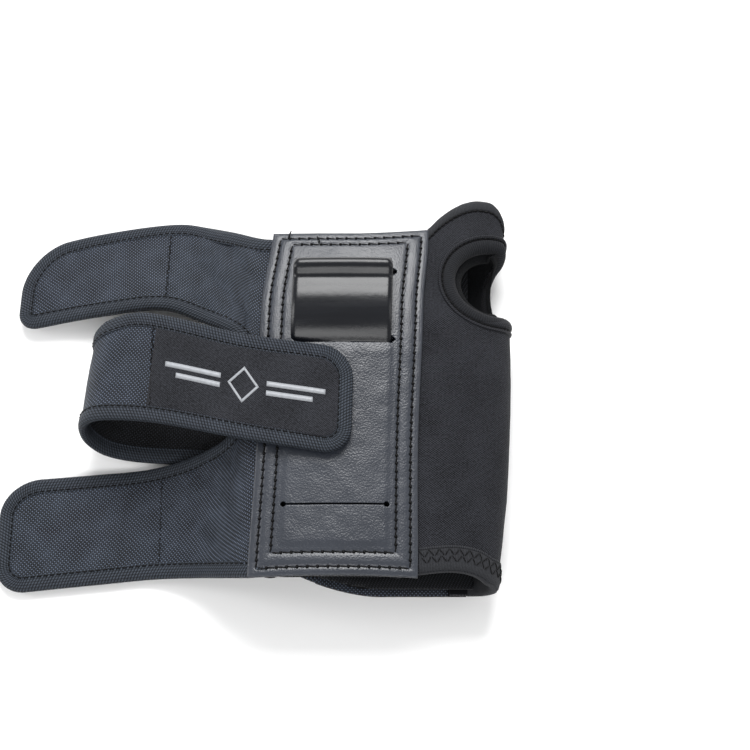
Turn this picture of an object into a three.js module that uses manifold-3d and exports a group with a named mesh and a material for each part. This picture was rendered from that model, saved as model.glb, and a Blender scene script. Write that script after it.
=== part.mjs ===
// A wrap-round wrist guard for the right hand, lying palm up. X runs from the little-finger side to the
// thumb side, Y from the forearm to the fingers, and Z up from the surface that the guard lies on.
// Sizes are in millimetres, and every height is that of a middle surface unless it says otherwise.
import * as THREE from "three";
import { mergeVertices } from "three/addons/utils/BufferGeometryUtils.js";
import Module from "manifold-3d";

const wasm = await Module();
wasm.setup();

// Driving dimensions
const GAP = 0.3; // clearance between pieces that are sewn face to face
const PALM_CREST = 36; // height of the palm patch along its middle
const PALM_HALF_WIDTH = 33;
const PALM_CROWN = 2; // how far the patch falls from its middle to its side edges
const PALM_DROP = 8; // how far the finger end of the patch droops
const PALM_BEND_Y = 8; // where that droop starts
const PALM_BOTTOM_Y = -85.5;
const PALM_TOP_Y = 65.5;
const PALM_CENTRE_X = 36.2; // middle of the patch at Y 0
const PALM_LEAN = 0.028; // the patch leans to the thumb side by this share of Y

const LEATHER = 1.2;
const PLATE = 1.8;
const BACKING = 0.7;
const FOAM = 2.5;
const LINING = 1.0;
const NEOPRENE = 2.9;
const WEB = 2.2; // laminated strap, without its edge tape
const TAPE = 0.8; // edge tape
const TAPE_CLEAR = 0.5; // room between the tape and the cloth inside its fold
const TAPE_FLANGE = 6.4;
const HOOK = 0.8;

const PLATE_WIDTH = 40;
const SLIT_FINGER_Y = 46; // the plate comes out of the patch here
const SLIT_BRIDGE_Y = 14.5; // and goes back in here
const SLIT_LOADING_Y = -56; // its forearm end is fed in here
const PLATE_TOP_Y = 57;
const PLATE_BOTTOM_Y = -72;

const FOLD_HEIGHT = 17; // height of the sleeve's fold on the thumb side
const HINGE_X = -23; // line where the two outer straps bend up from the fork panel
const HINGE_GAP = 0.5;
const BACK_SHELL_X = 19; // little-finger edge of the back panel's cloth
const BACK_LEFT_X = 26; // and of the loop pile on it
const BACK_RIGHT_X = 88;
const BACK_BOTTOM_Y = -86;
const BACK_TOP_Y = 71;
const LOOP_PILE = 1.2;
const SHELL = 0.8;

const COLOURS = {
  nylon: 0x2b2f37,
  tape: 0x24272d,
  leather: 0x4c5058,
  neoprene: 0x25262a,
  plastic: 0x3a3c40,
  loop: 0x1b1c1e,
  hook: 0x18191b,
  lining: 0x141517,
  foam: 0x303236,
  label: 0x2a2b2e,
  splint: 0x202225,
};

const guard = new THREE.Group();

// ---- Solids ----

// A closed geometry with shared vertices and its faces pointing out.
function closedBody(geometry) {
  geometry.deleteAttribute("normal");
  geometry.deleteAttribute("uv");
  const body = mergeVertices(geometry, 1e-4);
  if (signedVolume(body) < 0) {
    const index = body.index.array;
    for (let i = 0; i < index.length; i += 3) [index[i + 1], index[i + 2]] = [index[i + 2], index[i + 1]];
  }
  return body;
}

function signedVolume(geometry) {
  const position = geometry.attributes.position;
  const index = geometry.index.array;
  const [a, b, c] = [new THREE.Vector3(), new THREE.Vector3(), new THREE.Vector3()];
  let sum = 0;
  for (let i = 0; i < index.length; i += 3) {
    a.fromBufferAttribute(position, index[i]);
    b.fromBufferAttribute(position, index[i + 1]);
    c.fromBufferAttribute(position, index[i + 2]);
    sum += a.dot(b.cross(c)) / 6;
  }
  return sum;
}

function toManifold(geometry) {
  return new wasm.Manifold(
    new wasm.Mesh({
      numProp: 3,
      vertProperties: new Float32Array(geometry.attributes.position.array),
      triVerts: new Uint32Array(geometry.index.array),
    }),
  );
}

function toGeometry(manifold) {
  const mesh = manifold.getMesh();
  return new THREE.BufferGeometry()
    .setAttribute("position", new THREE.BufferAttribute(mesh.vertProperties, 3))
    .setIndex(new THREE.BufferAttribute(mesh.triVerts, 1));
}

const cut = (geometry, ...tools) =>
  toGeometry(tools.reduce((left, tool) => left.subtract(toManifold(tool)), toManifold(geometry)));
const join = (...geometries) =>
  toGeometry(geometries.map(toManifold).reduce((whole, next) => whole.add(next)));

// Moves every vertex of a geometry by place(x, y, z), which returns a Vector3.
function reshape(geometry, place) {
  const position = geometry.attributes.position;
  for (let i = 0; i < position.count; i++) {
    const moved = place(position.getX(i), position.getY(i), position.getZ(i));
    position.setXYZ(i, moved.x, moved.y, moved.z);
  }
  return closedBody(geometry);
}

// A sheet over surface(u, v), with u and v from 0 to 1, between two offsets along Z or along its normal.
function sheet(surface, along, across, top, bottom, normal = () => new THREE.Vector3(0, 0, 1)) {
  return reshape(new THREE.BoxGeometry(1, 1, 1, along, across, 1), (x, y, z) => {
    const [u, v] = [x + 0.5, y + 0.5];
    return surface(u, v).addScaledVector(normal(u, v), z > 0 ? top : bottom);
  });
}

function surfaceNormal(surface) {
  const step = 1e-3;
  return (u, v) => {
    const [u0, u1, v0, v1] = [u - step, u + step, v - step, v + step];
    const alongU = surface(u1, v).sub(surface(u0, v));
    const alongV = surface(u, v1).sub(surface(u, v0));
    const normal = alongU.cross(alongV).normalize();
    return normal;
  };
}

function block(x0, x1, y0, y1, z0, z1) {
  const box = new THREE.BoxGeometry(x1 - x0, y1 - y0, z1 - z0);
  return closedBody(box.translate((x0 + x1) / 2, (y0 + y1) / 2, (z0 + z1) / 2));
}

// A plate with rounded corners, flat in XY.
function roundedPlate(x0, x1, y0, y1, z0, thickness, radius) {
  const outline = new THREE.Shape();
  outline.moveTo(x0 + radius, y0);
  outline.lineTo(x1 - radius, y0);
  outline.absarc(x1 - radius, y0 + radius, radius, -Math.PI / 2, 0);
  outline.lineTo(x1, y1 - radius);
  outline.absarc(x1 - radius, y1 - radius, radius, 0, Math.PI / 2);
  outline.lineTo(x0 + radius, y1);
  outline.absarc(x0 + radius, y1 - radius, radius, Math.PI / 2, Math.PI);
  outline.lineTo(x0, y0 + radius);
  outline.absarc(x0 + radius, y0 + radius, radius, Math.PI, 1.5 * Math.PI);
  const plate = new THREE.ExtrudeGeometry(outline, { depth: thickness, bevelEnabled: false, curveSegments: 4 });
  return closedBody(plate.translate(0, 0, z0));
}

function add(name, geometry, colour, roughness = 0.85) {
  const material = new THREE.MeshStandardMaterial({ color: colour, roughness, metalness: 0 });
  const mesh = new THREE.Mesh(geometry, material);
  mesh.name = name;
  guard.add(mesh);
}

// ---- Edge tape, folded round an edge ----

// edge is a list of { at, normal }, from one end of the tape to the other. The tape's U closes on the edge,
// and side is 1 where the cloth lies to the left of the way the list runs, seen from above.
function edgeTape(edge, side, flange = TAPE_FLANGE, halfInside = WEB / 2 + TAPE_CLEAR, tape = TAPE) {
  const outside = halfInside + tape;
  const section = new THREE.Shape([
    new THREE.Vector2(0, -outside),
    new THREE.Vector2(flange, -outside),
    new THREE.Vector2(flange, -halfInside),
    new THREE.Vector2(tape, -halfInside),
    new THREE.Vector2(tape, halfInside),
    new THREE.Vector2(flange, halfInside),
    new THREE.Vector2(flange, outside),
    new THREE.Vector2(0, outside),
  ]);
  const steps = edge.length - 1;
  const strip = new THREE.ExtrudeGeometry(section, { depth: steps, steps, bevelEnabled: false });
  return reshape(strip, (inward, up, run) => {
    const i = Math.round(run);
    const tangent = edge[Math.min(i + 1, steps)].at.clone().sub(edge[Math.max(i - 1, 0)].at).normalize();
    const across = edge[i].normal.clone().cross(tangent).multiplyScalar(side).normalize();
    return edge[i].at.clone().addScaledVector(across, inward).addScaledVector(edge[i].normal, up);
  });
}

// ---- Straps ----

// A strap runs from its root to its tip between two edges, each a smooth curve. Its tip corners are round.
class Strap {
  constructor({ far, near, farRadius, nearRadius }) {
    this.far = new THREE.CatmullRomCurve3(far.map((p) => new THREE.Vector3(...p)));
    this.near = new THREE.CatmullRomCurve3(near.map((p) => new THREE.Vector3(...p)));
    this.length = (this.far.getLength() + this.near.getLength()) / 2;
    this.farRadius = farRadius;
    this.nearRadius = nearRadius;
  }

  // The point at a share of the length, and at v from 0 on the near edge to 1 on the far edge.
  point(share, v) {
    return this.near.getPointAt(share).lerp(this.far.getPointAt(share), v);
  }

  normal(share, v) {
    const [before, after] = [Math.max(share - 0.01, 0), Math.min(share + 0.01, 1)];
    const along = this.point(after, v).sub(this.point(before, v));
    const across = this.point(share, 1).sub(this.point(share, 0));
    const normal = across.cross(along).normalize();
    return this.far.getPoint(1).x < this.far.getPoint(0).x ? normal : normal.negate();
  }

  // How far an edge has come in at a share of the length, as a share of the width there.
  corner(share, radius, inset) {
    const r = radius - inset;
    const left = Math.min(Math.max((1 - share) * this.length - inset, 0) / r, 1);
    const width = this.point(share, 0).distanceTo(this.point(share, 1));
    return (inset + r * (1 - Math.sqrt(1 - (1 - left) ** 2))) / width;
  }

  // Shares of the length, close together round the tip.
  stations(inset, straight = 9, round = 5) {
    const radius = Math.max(this.farRadius, this.nearRadius);
    const shares = [];
    for (let i = 0; i < straight; i++) shares.push((i / straight) * (1 - radius / this.length));
    for (let i = 0; i <= round; i++) {
      const angle = (i / round) * (Math.PI / 2);
      shares.push(1 - (inset + (radius - inset) * (1 - Math.sin(angle))) / this.length);
    }
    return shares;
  }

  // The strap's cloth, inset from its outer edge, between two offsets from its middle surface.
  body(inset, top, bottom, across = 3, from = 0) {
    const shares = [from, ...this.stations(inset).filter((share) => share > from + 0.02)];
    const last = shares.length - 1;
    const place = (u, v) => {
      const share = shares[Math.round(u * last)];
      const low = this.corner(share, this.nearRadius, inset);
      const high = 1 - this.corner(share, this.farRadius, inset);
      return [share, low + (high - low) * v];
    };
    return sheet(
      (u, v) => this.point(...place(u, v)),
      last,
      across,
      top,
      bottom,
      (u, v) => this.normal(...place(u, v)),
    );
  }

  // The outer edge from the far side of the root, round the tip, to the near side.
  outline() {
    const shares = this.stations(0);
    const spot = (share, v) => ({ at: this.point(share, v), normal: this.normal(share, v) });
    const far = shares.map((s) => spot(s, 1 - this.corner(s, this.farRadius, 0)));
    const near = shares.map((s) => spot(s, this.corner(s, this.nearRadius, 0)));
    return [...far, ...near.reverse()];
  }

  sideEdge(v, from, to, steps) {
    return Array.from({ length: steps + 1 }, (_, i) => {
      const share = from + ((to - from) * i) / steps;
      return { at: this.point(share, v), normal: this.normal(share, v) };
    });
  }
}

const INSET = TAPE + GAP; // the strap's cloth stops this far inside the tape's outer edge

const rootX = HINGE_X - HINGE_GAP;
const upperRoot = { farY: 77.5, farZ: 6.6, nearY: 31, nearZ: 18.5 };
const lowerRoot = { farY: -29, farZ: 13, nearY: -80, nearZ: 10 };

const upperStrap = new Strap({
  far: [
    [rootX, upperRoot.farY, upperRoot.farZ],
    [-35, 80, 3.8],
    [-70, 75.5, 3],
    [-102, 67, 3],
  ],
  near: [
    [rootX, upperRoot.nearY, upperRoot.nearZ],
    [-39, 35.5, 15],
    [-67, 34.5, 10],
    [-103, 29.5, 4.5],
  ],
  farRadius: 20,
  nearRadius: 8.5,
});

const lowerStrap = new Strap({
  far: [
    [rootX, lowerRoot.farY, lowerRoot.farZ],
    [-43, -32, 3.5],
    [-65, -34.2, 2.9],
    [-105, -37.5, 2.9],
  ],
  near: [
    [rootX, lowerRoot.nearY, lowerRoot.nearZ],
    [-40, -79, 3.4],
    [-62, -81, 2.9],
    [-105.5, -85.5, 2.9],
  ],
  farRadius: 15,
  nearRadius: 13,
});

// The middle strap comes out from under the back panel, and folds over onto the palm.
const FOLD_SPLIT = 19; // height where its fold is split for the hinge
const SPLIT = 0.6; // half of that split
const OVER_PALM = 3; // height of its middle surface over the patch
const endZ = PALM_CREST + OVER_PALM;
const middleEnd = new Strap({
  far: [
    [-68.3, 22.5, FOLD_SPLIT + SPLIT],
    [-66.5, 23.2, 24],
    [-61, 25, 29],
    [-47, 27, 32.6],
    [-1, 15, endZ - 0.9],
    [28, 10.5, endZ],
    [42, 8.4, endZ - 0.2],
  ],
  near: [
    [-72.8, -20.5, FOLD_SPLIT + SPLIT],
    [-71, -19.5, 24],
    [-65, -19, 29],
    [-43, -20.5, 32.6],
    [-1, -30, endZ - 0.9],
    [28, -35.2, endZ],
    [41, -37.2, endZ - 0.2],
  ],
  farRadius: 13,
  nearRadius: 12,
});
const middleBase = new Strap({
  far: [
    [-68.3, 22.5, FOLD_SPLIT - SPLIT],
    [-67, 21.5, 12],
    [-61.5, 19.5, 6],
    [-50, 17.5, 3.6],
    [-20, 15.1, 3.6],
    [8, 12.8, 5],
    [33, 10.5, 5.2],
  ],
  near: [
    [-72.8, -20.5, FOLD_SPLIT - SPLIT],
    [-71.6, -23, 12],
    [-65.5, -26, 6],
    [-52, -28.3, 3.6],
    [-20, -30.4, 3.6],
    [8, -32.8, 5],
    [33, -35, 5.2],
  ],
  farRadius: 1,
  nearRadius: 1,
});

const PATCH_INSET = TAPE_FLANGE + 1.5;
const beyondHinge = () => block(HINGE_X - HINGE_GAP, 60, -150, 150, -40, 80);
const beforeHinge = () => block(-60, HINGE_X + HINGE_GAP, -150, 150, -40, 80);

function addOuterStrap(name, strap) {
  add(`${name}_web`, cut(strap.body(INSET + 0.3, WEB / 2, -WEB / 2), beyondHinge()), COLOURS.nylon);
  add(`${name}_edge_tape`, cut(edgeTape(strap.outline(), 1), beyondHinge()), COLOURS.tape);
  const hookTop = -WEB / 2 - GAP;
  add(`${name}_hook_patch`, strap.body(PATCH_INSET, hookTop, hookTop - HOOK, 2, 0.2), COLOURS.hook, 0.95);
}

const BASE_INSIDE = WEB / 2 + 0.6; // the base bends hard at its fold

function addMiddleStrap() {
  add("middle_strap_end_web", middleEnd.body(INSET + 0.3, WEB / 2, -WEB / 2), COLOURS.nylon);
  add("middle_strap_end_edge_tape", edgeTape(middleEnd.outline(), -1), COLOURS.tape);
  const face = WEB / 2 + GAP;
  add("middle_strap_label", middleEnd.body(PATCH_INSET, face + 0.6, face, 2, 0.34), COLOURS.label);
  add("middle_strap_hook_patch", middleEnd.body(PATCH_INSET, -face, -face - HOOK, 2, 0.42), COLOURS.hook, 0.95);

  const margin = (INSET + 0.7) / 44;
  const place = (u, v) => [u, margin + (1 - 2 * margin) * v];
  const web = sheet(
    (u, v) => middleBase.point(...place(u, v)),
    14,
    2,
    WEB / 2,
    -WEB / 2,
    (u, v) => middleBase.normal(...place(u, v)),
  );
  add("middle_strap_base_web", web, COLOURS.nylon);
  const panelShare = 0.9; // the tape stops where the strap goes in under the back panel
  const farEdge = middleBase.sideEdge(1, 0, panelShare, 12);
  const nearEdge = middleBase.sideEdge(0, 0, panelShare, 12);
  add("middle_strap_base_far_tape", edgeTape(farEdge, -1, TAPE_FLANGE, BASE_INSIDE), COLOURS.tape);
  add("middle_strap_base_near_tape", edgeTape(nearEdge, 1, TAPE_FLANGE, BASE_INSIDE), COLOURS.tape);
}

// ---- Palm side ----

const palmCentre = (y) => PALM_CENTRE_X + PALM_LEAN * y;

// Height of the palm patch's outer face.
function palmTop(x, y) {
  const across = (x - palmCentre(y)) / PALM_HALF_WIDTH;
  const along = Math.max(0, y - PALM_BEND_Y) / (PALM_TOP_Y - PALM_BEND_Y);
  return PALM_CREST - PALM_CROWN * across ** 2 - PALM_DROP * along ** 2;
}

// A layer of the palm side: a leaning rectangle under the patch, from one depth to another.
function palmLayer(left, right, bottomY, topY, depth, thickness, along = 6, across = 11) {
  const surface = (u, v) => {
    const y = bottomY + (topY - bottomY) * v;
    const x = palmCentre(y) + left + (right - left) * u;
    return new THREE.Vector3(x, y, palmTop(x, y));
  };
  return sheet(surface, along, across, -depth, -depth - thickness);
}

function palmSlits() {
  const [low, high] = [20, 50]; // well below and above the patch
  const hole = (x, y) => {
    const drill = new THREE.CylinderGeometry(1.3, 1.3, high - low, 10).rotateX(Math.PI / 2);
    return closedBody(drill.translate(x, y, (low + high) / 2));
  };
  const slit = (y, width, reach) => {
    const [x0, x1] = [palmCentre(y) - reach, palmCentre(y) + reach];
    return [block(x0, x1, y - width / 2, y + width / 2, low, high), hole(x0, y), hole(x1, y)];
  };
  const half = PLATE_WIDTH / 2;
  return [...slit(SLIT_FINGER_Y, 3.4, half + 1), ...slit(SLIT_BRIDGE_Y, 3.8, half + 1), ...slit(SLIT_LOADING_Y, 0.5, half + 0.6)];
}

// The moulded plate, as its section along Y: depth is measured from the patch's outer face.
function palmPlate() {
  const inside = -LEATHER - 0.4 - PLATE / 2;
  const line = [
    [PLATE_TOP_Y, inside],
    [SLIT_FINGER_Y + 3, inside],
    [SLIT_FINGER_Y + 0.6, inside + 0.6],
    [SLIT_FINGER_Y, 0.6],
    [SLIT_FINGER_Y + 1.2, 6],
    [SLIT_FINGER_Y + 1.2, 8.4],
    [SLIT_FINGER_Y - 0.4, 9],
    [SLIT_FINGER_Y - 3.4, 6.2],
    [SLIT_FINGER_Y - 7, 6.3],
    [SLIT_FINGER_Y - 15, 6.2],
    [SLIT_FINGER_Y - 23, 4.7],
    [SLIT_FINGER_Y - 29, 2.2],
    [SLIT_BRIDGE_Y + 0.3, -0.2],
    [SLIT_BRIDGE_Y - 1.6, inside + 0.3],
    [SLIT_BRIDGE_Y - 4, inside],
    [-20, inside],
    [PLATE_BOTTOM_Y, inside],
  ].map(([y, z]) => new THREE.Vector2(y, z));
  const normalAt = (i) => {
    const run = line[Math.min(i + 1, line.length - 1)].clone().sub(line[Math.max(i - 1, 0)]).normalize();
    return new THREE.Vector2(run.y, -run.x);
  };
  const side = (sign) => line.map((p, i) => p.clone().addScaledVector(normalAt(i), (sign * PLATE) / 2));
  const outline = new THREE.Shape([...side(1), ...side(-1).reverse()]);
  const plate = new THREE.ExtrudeGeometry(outline, { depth: 1, steps: 4, bevelEnabled: false });
  return reshape(plate, (y, depth, across) => {
    const x = palmCentre(y) + (across - 0.5) * PLATE_WIDTH;
    return new THREE.Vector3(x, y, palmTop(x, y) + depth);
  });
}

function addPalmSide() {
  const half = PALM_HALF_WIDTH;
  const patch = palmLayer(-half, half, PALM_BOTTOM_Y, PALM_TOP_Y, 0, LEATHER);
  add("palm_patch", cut(patch, ...palmSlits()), COLOURS.leather, 0.5);
  add("palm_plate", palmPlate(), COLOURS.plastic, 0.3);
  const backingDepth = LEATHER + 0.4 + PLATE + GAP;
  add("palm_pocket_backing", palmLayer(-31, 24.5, -83, 63, backingDepth, BACKING), COLOURS.nylon);
  const foamDepth = backingDepth + BACKING + GAP;
  add("palm_foam_pad", palmLayer(-30, 30, -82, 62, foamDepth, FOAM, 5, 9), COLOURS.foam);
  const liningDepth = foamDepth + FOAM + GAP;
  add("palm_lining", palmLayer(-32, 32, -84.5, 64, liningDepth, LINING, 5, 9), COLOURS.lining, 0.95);
}

// ---- Fork panel: the cloth that the two outer straps are cut in one with ----

const FORK_ROOT_X = 3; // where it comes out from under the patch
const FORK_MIDDLE_X = -4; // its edge between the straps
const FORK = 1.6;

function hingeHeight(y) {
  const line = (root) => {
    const share = (y - root.nearY) / (root.farY - root.nearY);
    return root.nearZ + (root.farZ - root.nearZ) * share;
  };
  if (y >= upperRoot.nearY) return line(upperRoot);
  if (y <= lowerRoot.farY) return line(lowerRoot);
  return THREE.MathUtils.mapLinear(y, lowerRoot.farY, upperRoot.nearY, lowerRoot.farZ, upperRoot.nearZ);
}

function forkHeight(x, y) {
  const underPatch = palmTop(Math.max(x, FORK_ROOT_X), y) - LEATHER - GAP - FORK / 2;
  if (x >= FORK_ROOT_X) return underPatch;
  const share = (FORK_ROOT_X - x) / (FORK_ROOT_X - HINGE_X);
  return underPatch + (hingeHeight(y) - underPatch) * share ** 1.25;
}

// The four edges of the fork's arms in plan: [X, Y] at the patch and at the hinge line.
const FORK_EDGES = {
  upperFar: [[FORK_ROOT_X, 65], [-10, 72.5], [HINGE_X, upperRoot.farY]],
  upperNear: [[FORK_MIDDLE_X, 12], [-8.5, 23], [HINGE_X, upperRoot.nearY]],
  lowerFar: [[FORK_MIDDLE_X, -14], [-8, -23.5], [HINGE_X, lowerRoot.farY]],
  lowerNear: [[FORK_ROOT_X, -85], [-10, -83], [HINGE_X, lowerRoot.nearY]],
};

function forkCurve(name) {
  const points = FORK_EDGES[name].map(([x, y]) => new THREE.Vector3(x, y, 0));
  return new THREE.CatmullRomCurve3(points);
}

function forkPoint(x, y) {
  return new THREE.Vector3(x, y, forkHeight(x, y));
}

function forkArm(nearName, farName) {
  const [near, far] = [forkCurve(nearName), forkCurve(farName)];
  const inward = (curve, u, sign) => {
    const run = curve.getTangent(u);
    return curve.getPoint(u).add(new THREE.Vector3(run.y, -run.x, 0).multiplyScalar(sign * (INSET + 0.2)));
  };
  const surface = (u, v) => {
    const plan = inward(near, u, 1).lerp(inward(far, u, -1), v);
    return forkPoint(plan.x, plan.y);
  };
  return sheet(surface, 9, 5, FORK / 2, -FORK / 2);
}

// An edge of the fork as a tape follows it. Points are in plan.
function forkEdge(points) {
  return points.map(({ x, y }) => {
    const slopeX = forkHeight(x + 0.5, y) - forkHeight(x - 0.5, y);
    const slopeY = forkHeight(x, y + 0.5) - forkHeight(x, y - 0.5);
    return { at: forkPoint(x, y), normal: new THREE.Vector3(-slopeX, -slopeY, 1).normalize() };
  });
}

// The room that a fork tape has to leave for the patch and the pieces sewn under it.
function underPatch() {
  return palmLayer(-PALM_HALF_WIDTH - 0.8, PALM_HALF_WIDTH, PALM_BOTTOM_Y - 2, PALM_TOP_Y + 2, -4, 20, 1, 8);
}

function addForkPanel() {
  const strip = (u, v) => {
    const y = -82.4 + 145 * v;
    const right = palmCentre(y) - 23;
    return forkPoint(FORK_MIDDLE_X + INSET + (right - FORK_MIDDLE_X - INSET) * u, y);
  };
  const middle = sheet(strip, 4, 11, FORK / 2, -FORK / 2);
  const panel = join(middle, forkArm("upperNear", "upperFar"), forkArm("lowerNear", "lowerFar"));
  add("fork_panel", cut(panel, beforeHinge()), COLOURS.nylon);
  const trim = (points, side) => {
    const tape = edgeTape(forkEdge(points), side, TAPE_FLANGE, FORK / 2 + 1, TAPE);
    return cut(tape, beforeHinge(), underPatch());
  };
  const outward = (name) => forkCurve(name).getPoints(9);
  const throat = [6, 0, -7].map((y) => new THREE.Vector3(FORK_MIDDLE_X, y, 0));
  const gap = [...outward("upperNear").reverse(), ...throat, ...outward("lowerFar")];
  add("fork_far_tape", trim(outward("upperFar"), 1), COLOURS.tape);
  add("fork_gap_tape", trim(gap, 1), COLOURS.tape);
  add("fork_near_tape", trim(outward("lowerNear"), -1), COLOURS.tape);
}

// ---- Sleeve: stretch cloth round the thumb side, in two halves that meet along the fold ----

const foldX = (y) => 107.8 - 8 * ((y - 20) / 107) ** 2;
const SLEEVE_ROUNDNESS = 2.4; // power of the superellipse between the patch and the fold

// A point of the sleeve's outer face. turn runs from 0 at the panel to 1 at the fold.
function sleeveFace(startX, startZ, turn, y) {
  const angle = (turn * Math.PI) / 2;
  const across = Math.sin(angle) ** (2 / SLEEVE_ROUNDNESS);
  const rise = Math.cos(angle) ** (2 / SLEEVE_ROUNDNESS);
  return new THREE.Vector3(startX + (foldX(y) - startX) * across, y, FOLD_HEIGHT + (startZ - FOLD_HEIGHT) * rise);
}

const PALM_SLEEVE_FLAT = 0.12; // share of the half that lies flat under the patch

function palmSleeveFace(u, y) {
  const patchEdge = palmCentre(y) + PALM_HALF_WIDTH;
  const startZ = palmTop(patchEdge, y) - LEATHER - GAP;
  if (u < PALM_SLEEVE_FLAT) {
    const x = patchEdge - 7 * (1 - u / PALM_SLEEVE_FLAT);
    return new THREE.Vector3(x, y, palmTop(x, y) - LEATHER - GAP);
  }
  return sleeveFace(patchEdge, startZ, (u - PALM_SLEEVE_FLAT) / (1 - PALM_SLEEVE_FLAT), y);
}

const BACK_SLEEVE_FLAT = 0.14;
const BACK_SLEEVE_Z = LOOP_PILE + GAP; // the cloth lies on the loop pile's inner face

function backSleeveFace(u, y) {
  if (u < BACK_SLEEVE_FLAT) {
    return new THREE.Vector3(BACK_RIGHT_X - 7 * (1 - u / BACK_SLEEVE_FLAT), y, BACK_SLEEVE_Z);
  }
  return sleeveFace(BACK_RIGHT_X, BACK_SLEEVE_Z, (u - BACK_SLEEVE_FLAT) / (1 - BACK_SLEEVE_FLAT), y);
}

// The sleeve's finger end rises in a hump over the thumb, and its forearm end dips towards the fold.
const HUMP = 17.5;
const sleeveTopY = (u) => 66 + HUMP * Math.sin(Math.PI * Math.min(u / 1.15, 1)) ** 0.8;
const sleeveBottomY = (u) => -85 + 3 * Math.sin(Math.PI * Math.min(u / 0.7, 1)) - 2 * u ** 3;
const backTopY = (u) => 66 + (sleeveTopY(1) - 66) * u ** 2;
const backBottomY = (u) => -85.5 + (sleeveBottomY(1) + 85.5) * u ** 2;

function sleeveHalf(face, bottomY, topY, outer, inner, columns = 14, rows = 9) {
  const surface = (u, v) => face(u, bottomY(u) + (topY(u) - bottomY(u)) * v);
  const normal = surfaceNormal((u, v) => surface(Math.min(Math.max(u, 0), 1), v));
  const outward = (u, v) => {
    const n = normal(Math.min(Math.max(u, 0.002), 0.995), v);
    n.y = 0;
    n.normalize();
    if (u > 0.999) n.set(1, 0, 0);
    const middle = new THREE.Vector3(80, 0, FOLD_HEIGHT);
    const out = surface(u, v).sub(middle);
    out.y = 0;
    return n.dot(out) < 0 ? n.negate() : n;
  };
  return sheet(surface, columns, rows, outer, inner, outward);
}

// The part of a half on its own side of the fold's level, so that the halves don't meet.
function clipAtFold(geometry, above) {
  const [low, high] = above ? [-20, FOLD_HEIGHT + 0.15] : [FOLD_HEIGHT - 0.15, 80];
  return cut(geometry, block(40, 140, -140, 140, low, high));
}

// The thumb hole, as the block that cuts it out of one half.
function thumbCutter(centre, radii, above) {
  const drill = new THREE.CylinderGeometry(1, 1, 60, 28).rotateX(Math.PI / 2).scale(radii[0], radii[1], 1);
  return closedBody(drill.translate(centre[0], centre[1], above ? FOLD_HEIGHT + 29 : FOLD_HEIGHT - 29));
}

const THUMB_PALM = { centre: [101, 44], radii: [22, 21] };
const THUMB_BACK = { centre: [111, 43], radii: [13.5, 18] };

function thumbRim(face, { centre, radii }, above, from, to, steps) {
  const rim = [];
  for (let i = 0; i <= steps; i++) {
    const angle = from + ((to - from) * i) / steps;
    const [x, y] = [centre[0] + radii[0] * Math.cos(angle), centre[1] + radii[1] * Math.sin(angle)];
    let [low, high] = [0, 1];
    for (let k = 0; k < 30; k++) {
      const middle = (low + high) / 2;
      if (face(middle, y).x < x) low = middle;
      else high = middle;
    }
    const tangent = face(Math.min(low + 0.01, 1), y).sub(face(Math.max(low - 0.01, 0), y));
    const normal = new THREE.Vector3(-tangent.z, 0, tangent.x).multiplyScalar(above ? 1 : -1).normalize();
    rim.push({ at: face(low, y).addScaledVector(normal, -NEOPRENE / 2), normal });
  }
  return rim;
}

function addSleeve() {
  const palm = sleeveHalf(palmSleeveFace, sleeveBottomY, sleeveTopY, 0, -NEOPRENE);
  const back = sleeveHalf(backSleeveFace, backBottomY, backTopY, 0, -NEOPRENE);
  const cutThumb = (half, { centre, radii }, above) => {
    const margin = INSET + (above ? 0.3 : 1.6); // the back wall is steep there
    return cut(half, thumbCutter(centre, radii.map((radius) => radius + margin), above));
  };
  add("sleeve_palm_half", clipAtFold(cutThumb(palm, THUMB_PALM, true), true), COLOURS.neoprene);
  add("sleeve_back_half", clipAtFold(cutThumb(back, THUMB_BACK, false), false), COLOURS.neoprene);

  const inside = NEOPRENE / 2 + 0.9;
  const palmRim = thumbRim(palmSleeveFace, THUMB_PALM, true, 1.9, 4.45, 16);
  const backRim = thumbRim(backSleeveFace, THUMB_BACK, false, 2.1, 4.2, 10);
  add("thumb_hole_tape_palm", edgeTape(palmRim, -1, 3.4, inside, TAPE), COLOURS.tape);
  add("thumb_hole_tape_back", edgeTape(backRim, 1, 3.4, inside, TAPE), COLOURS.tape);

  const tapeRange = (from, to) => (u) => from + (to - from) * u;
  const flatTape = (face, ends, range) => {
    const surface = (u, v) => face(range(u), ends[0](range(u)) + (ends[1](range(u)) - ends[0](range(u))) * v);
    const outward = (u, v) => {
      const [a, b] = [surface(Math.max(u - 0.01, 0), v), surface(Math.min(u + 0.01, 1), v)];
      const along = b.sub(a);
      const n = new THREE.Vector3(-along.z, 0, along.x).normalize();
      const out = surface(u, v).sub(new THREE.Vector3(80, 0, FOLD_HEIGHT));
      return n.x * out.x + n.z * out.z < 0 ? n.negate() : n;
    };
    return sheet(surface, 9, 1, GAP + 0.7, GAP, outward);
  };
  const shifted = (edge, by) => (u) => edge(u) + by;
  const palmRange = tapeRange(PALM_SLEEVE_FLAT + 0.1, 0.97);
  const backRange = tapeRange(BACK_SLEEVE_FLAT + 0.08, 0.97);
  const hem = (edge) => [shifted(edge, 0.4), shifted(edge, 9.5)];
  const collar = (edge) => [shifted(edge, -5.2), shifted(edge, -0.3)];
  add("sleeve_hem_palm", flatTape(palmSleeveFace, hem(sleeveBottomY), palmRange), COLOURS.tape);
  add("sleeve_hem_back", flatTape(backSleeveFace, hem(backBottomY), backRange), COLOURS.tape);
  add("sleeve_collar_palm", flatTape(palmSleeveFace, collar(sleeveTopY), palmRange), COLOURS.tape);
  add("sleeve_collar_back", flatTape(backSleeveFace, collar(backTopY), backRange), COLOURS.tape);
}

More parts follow.
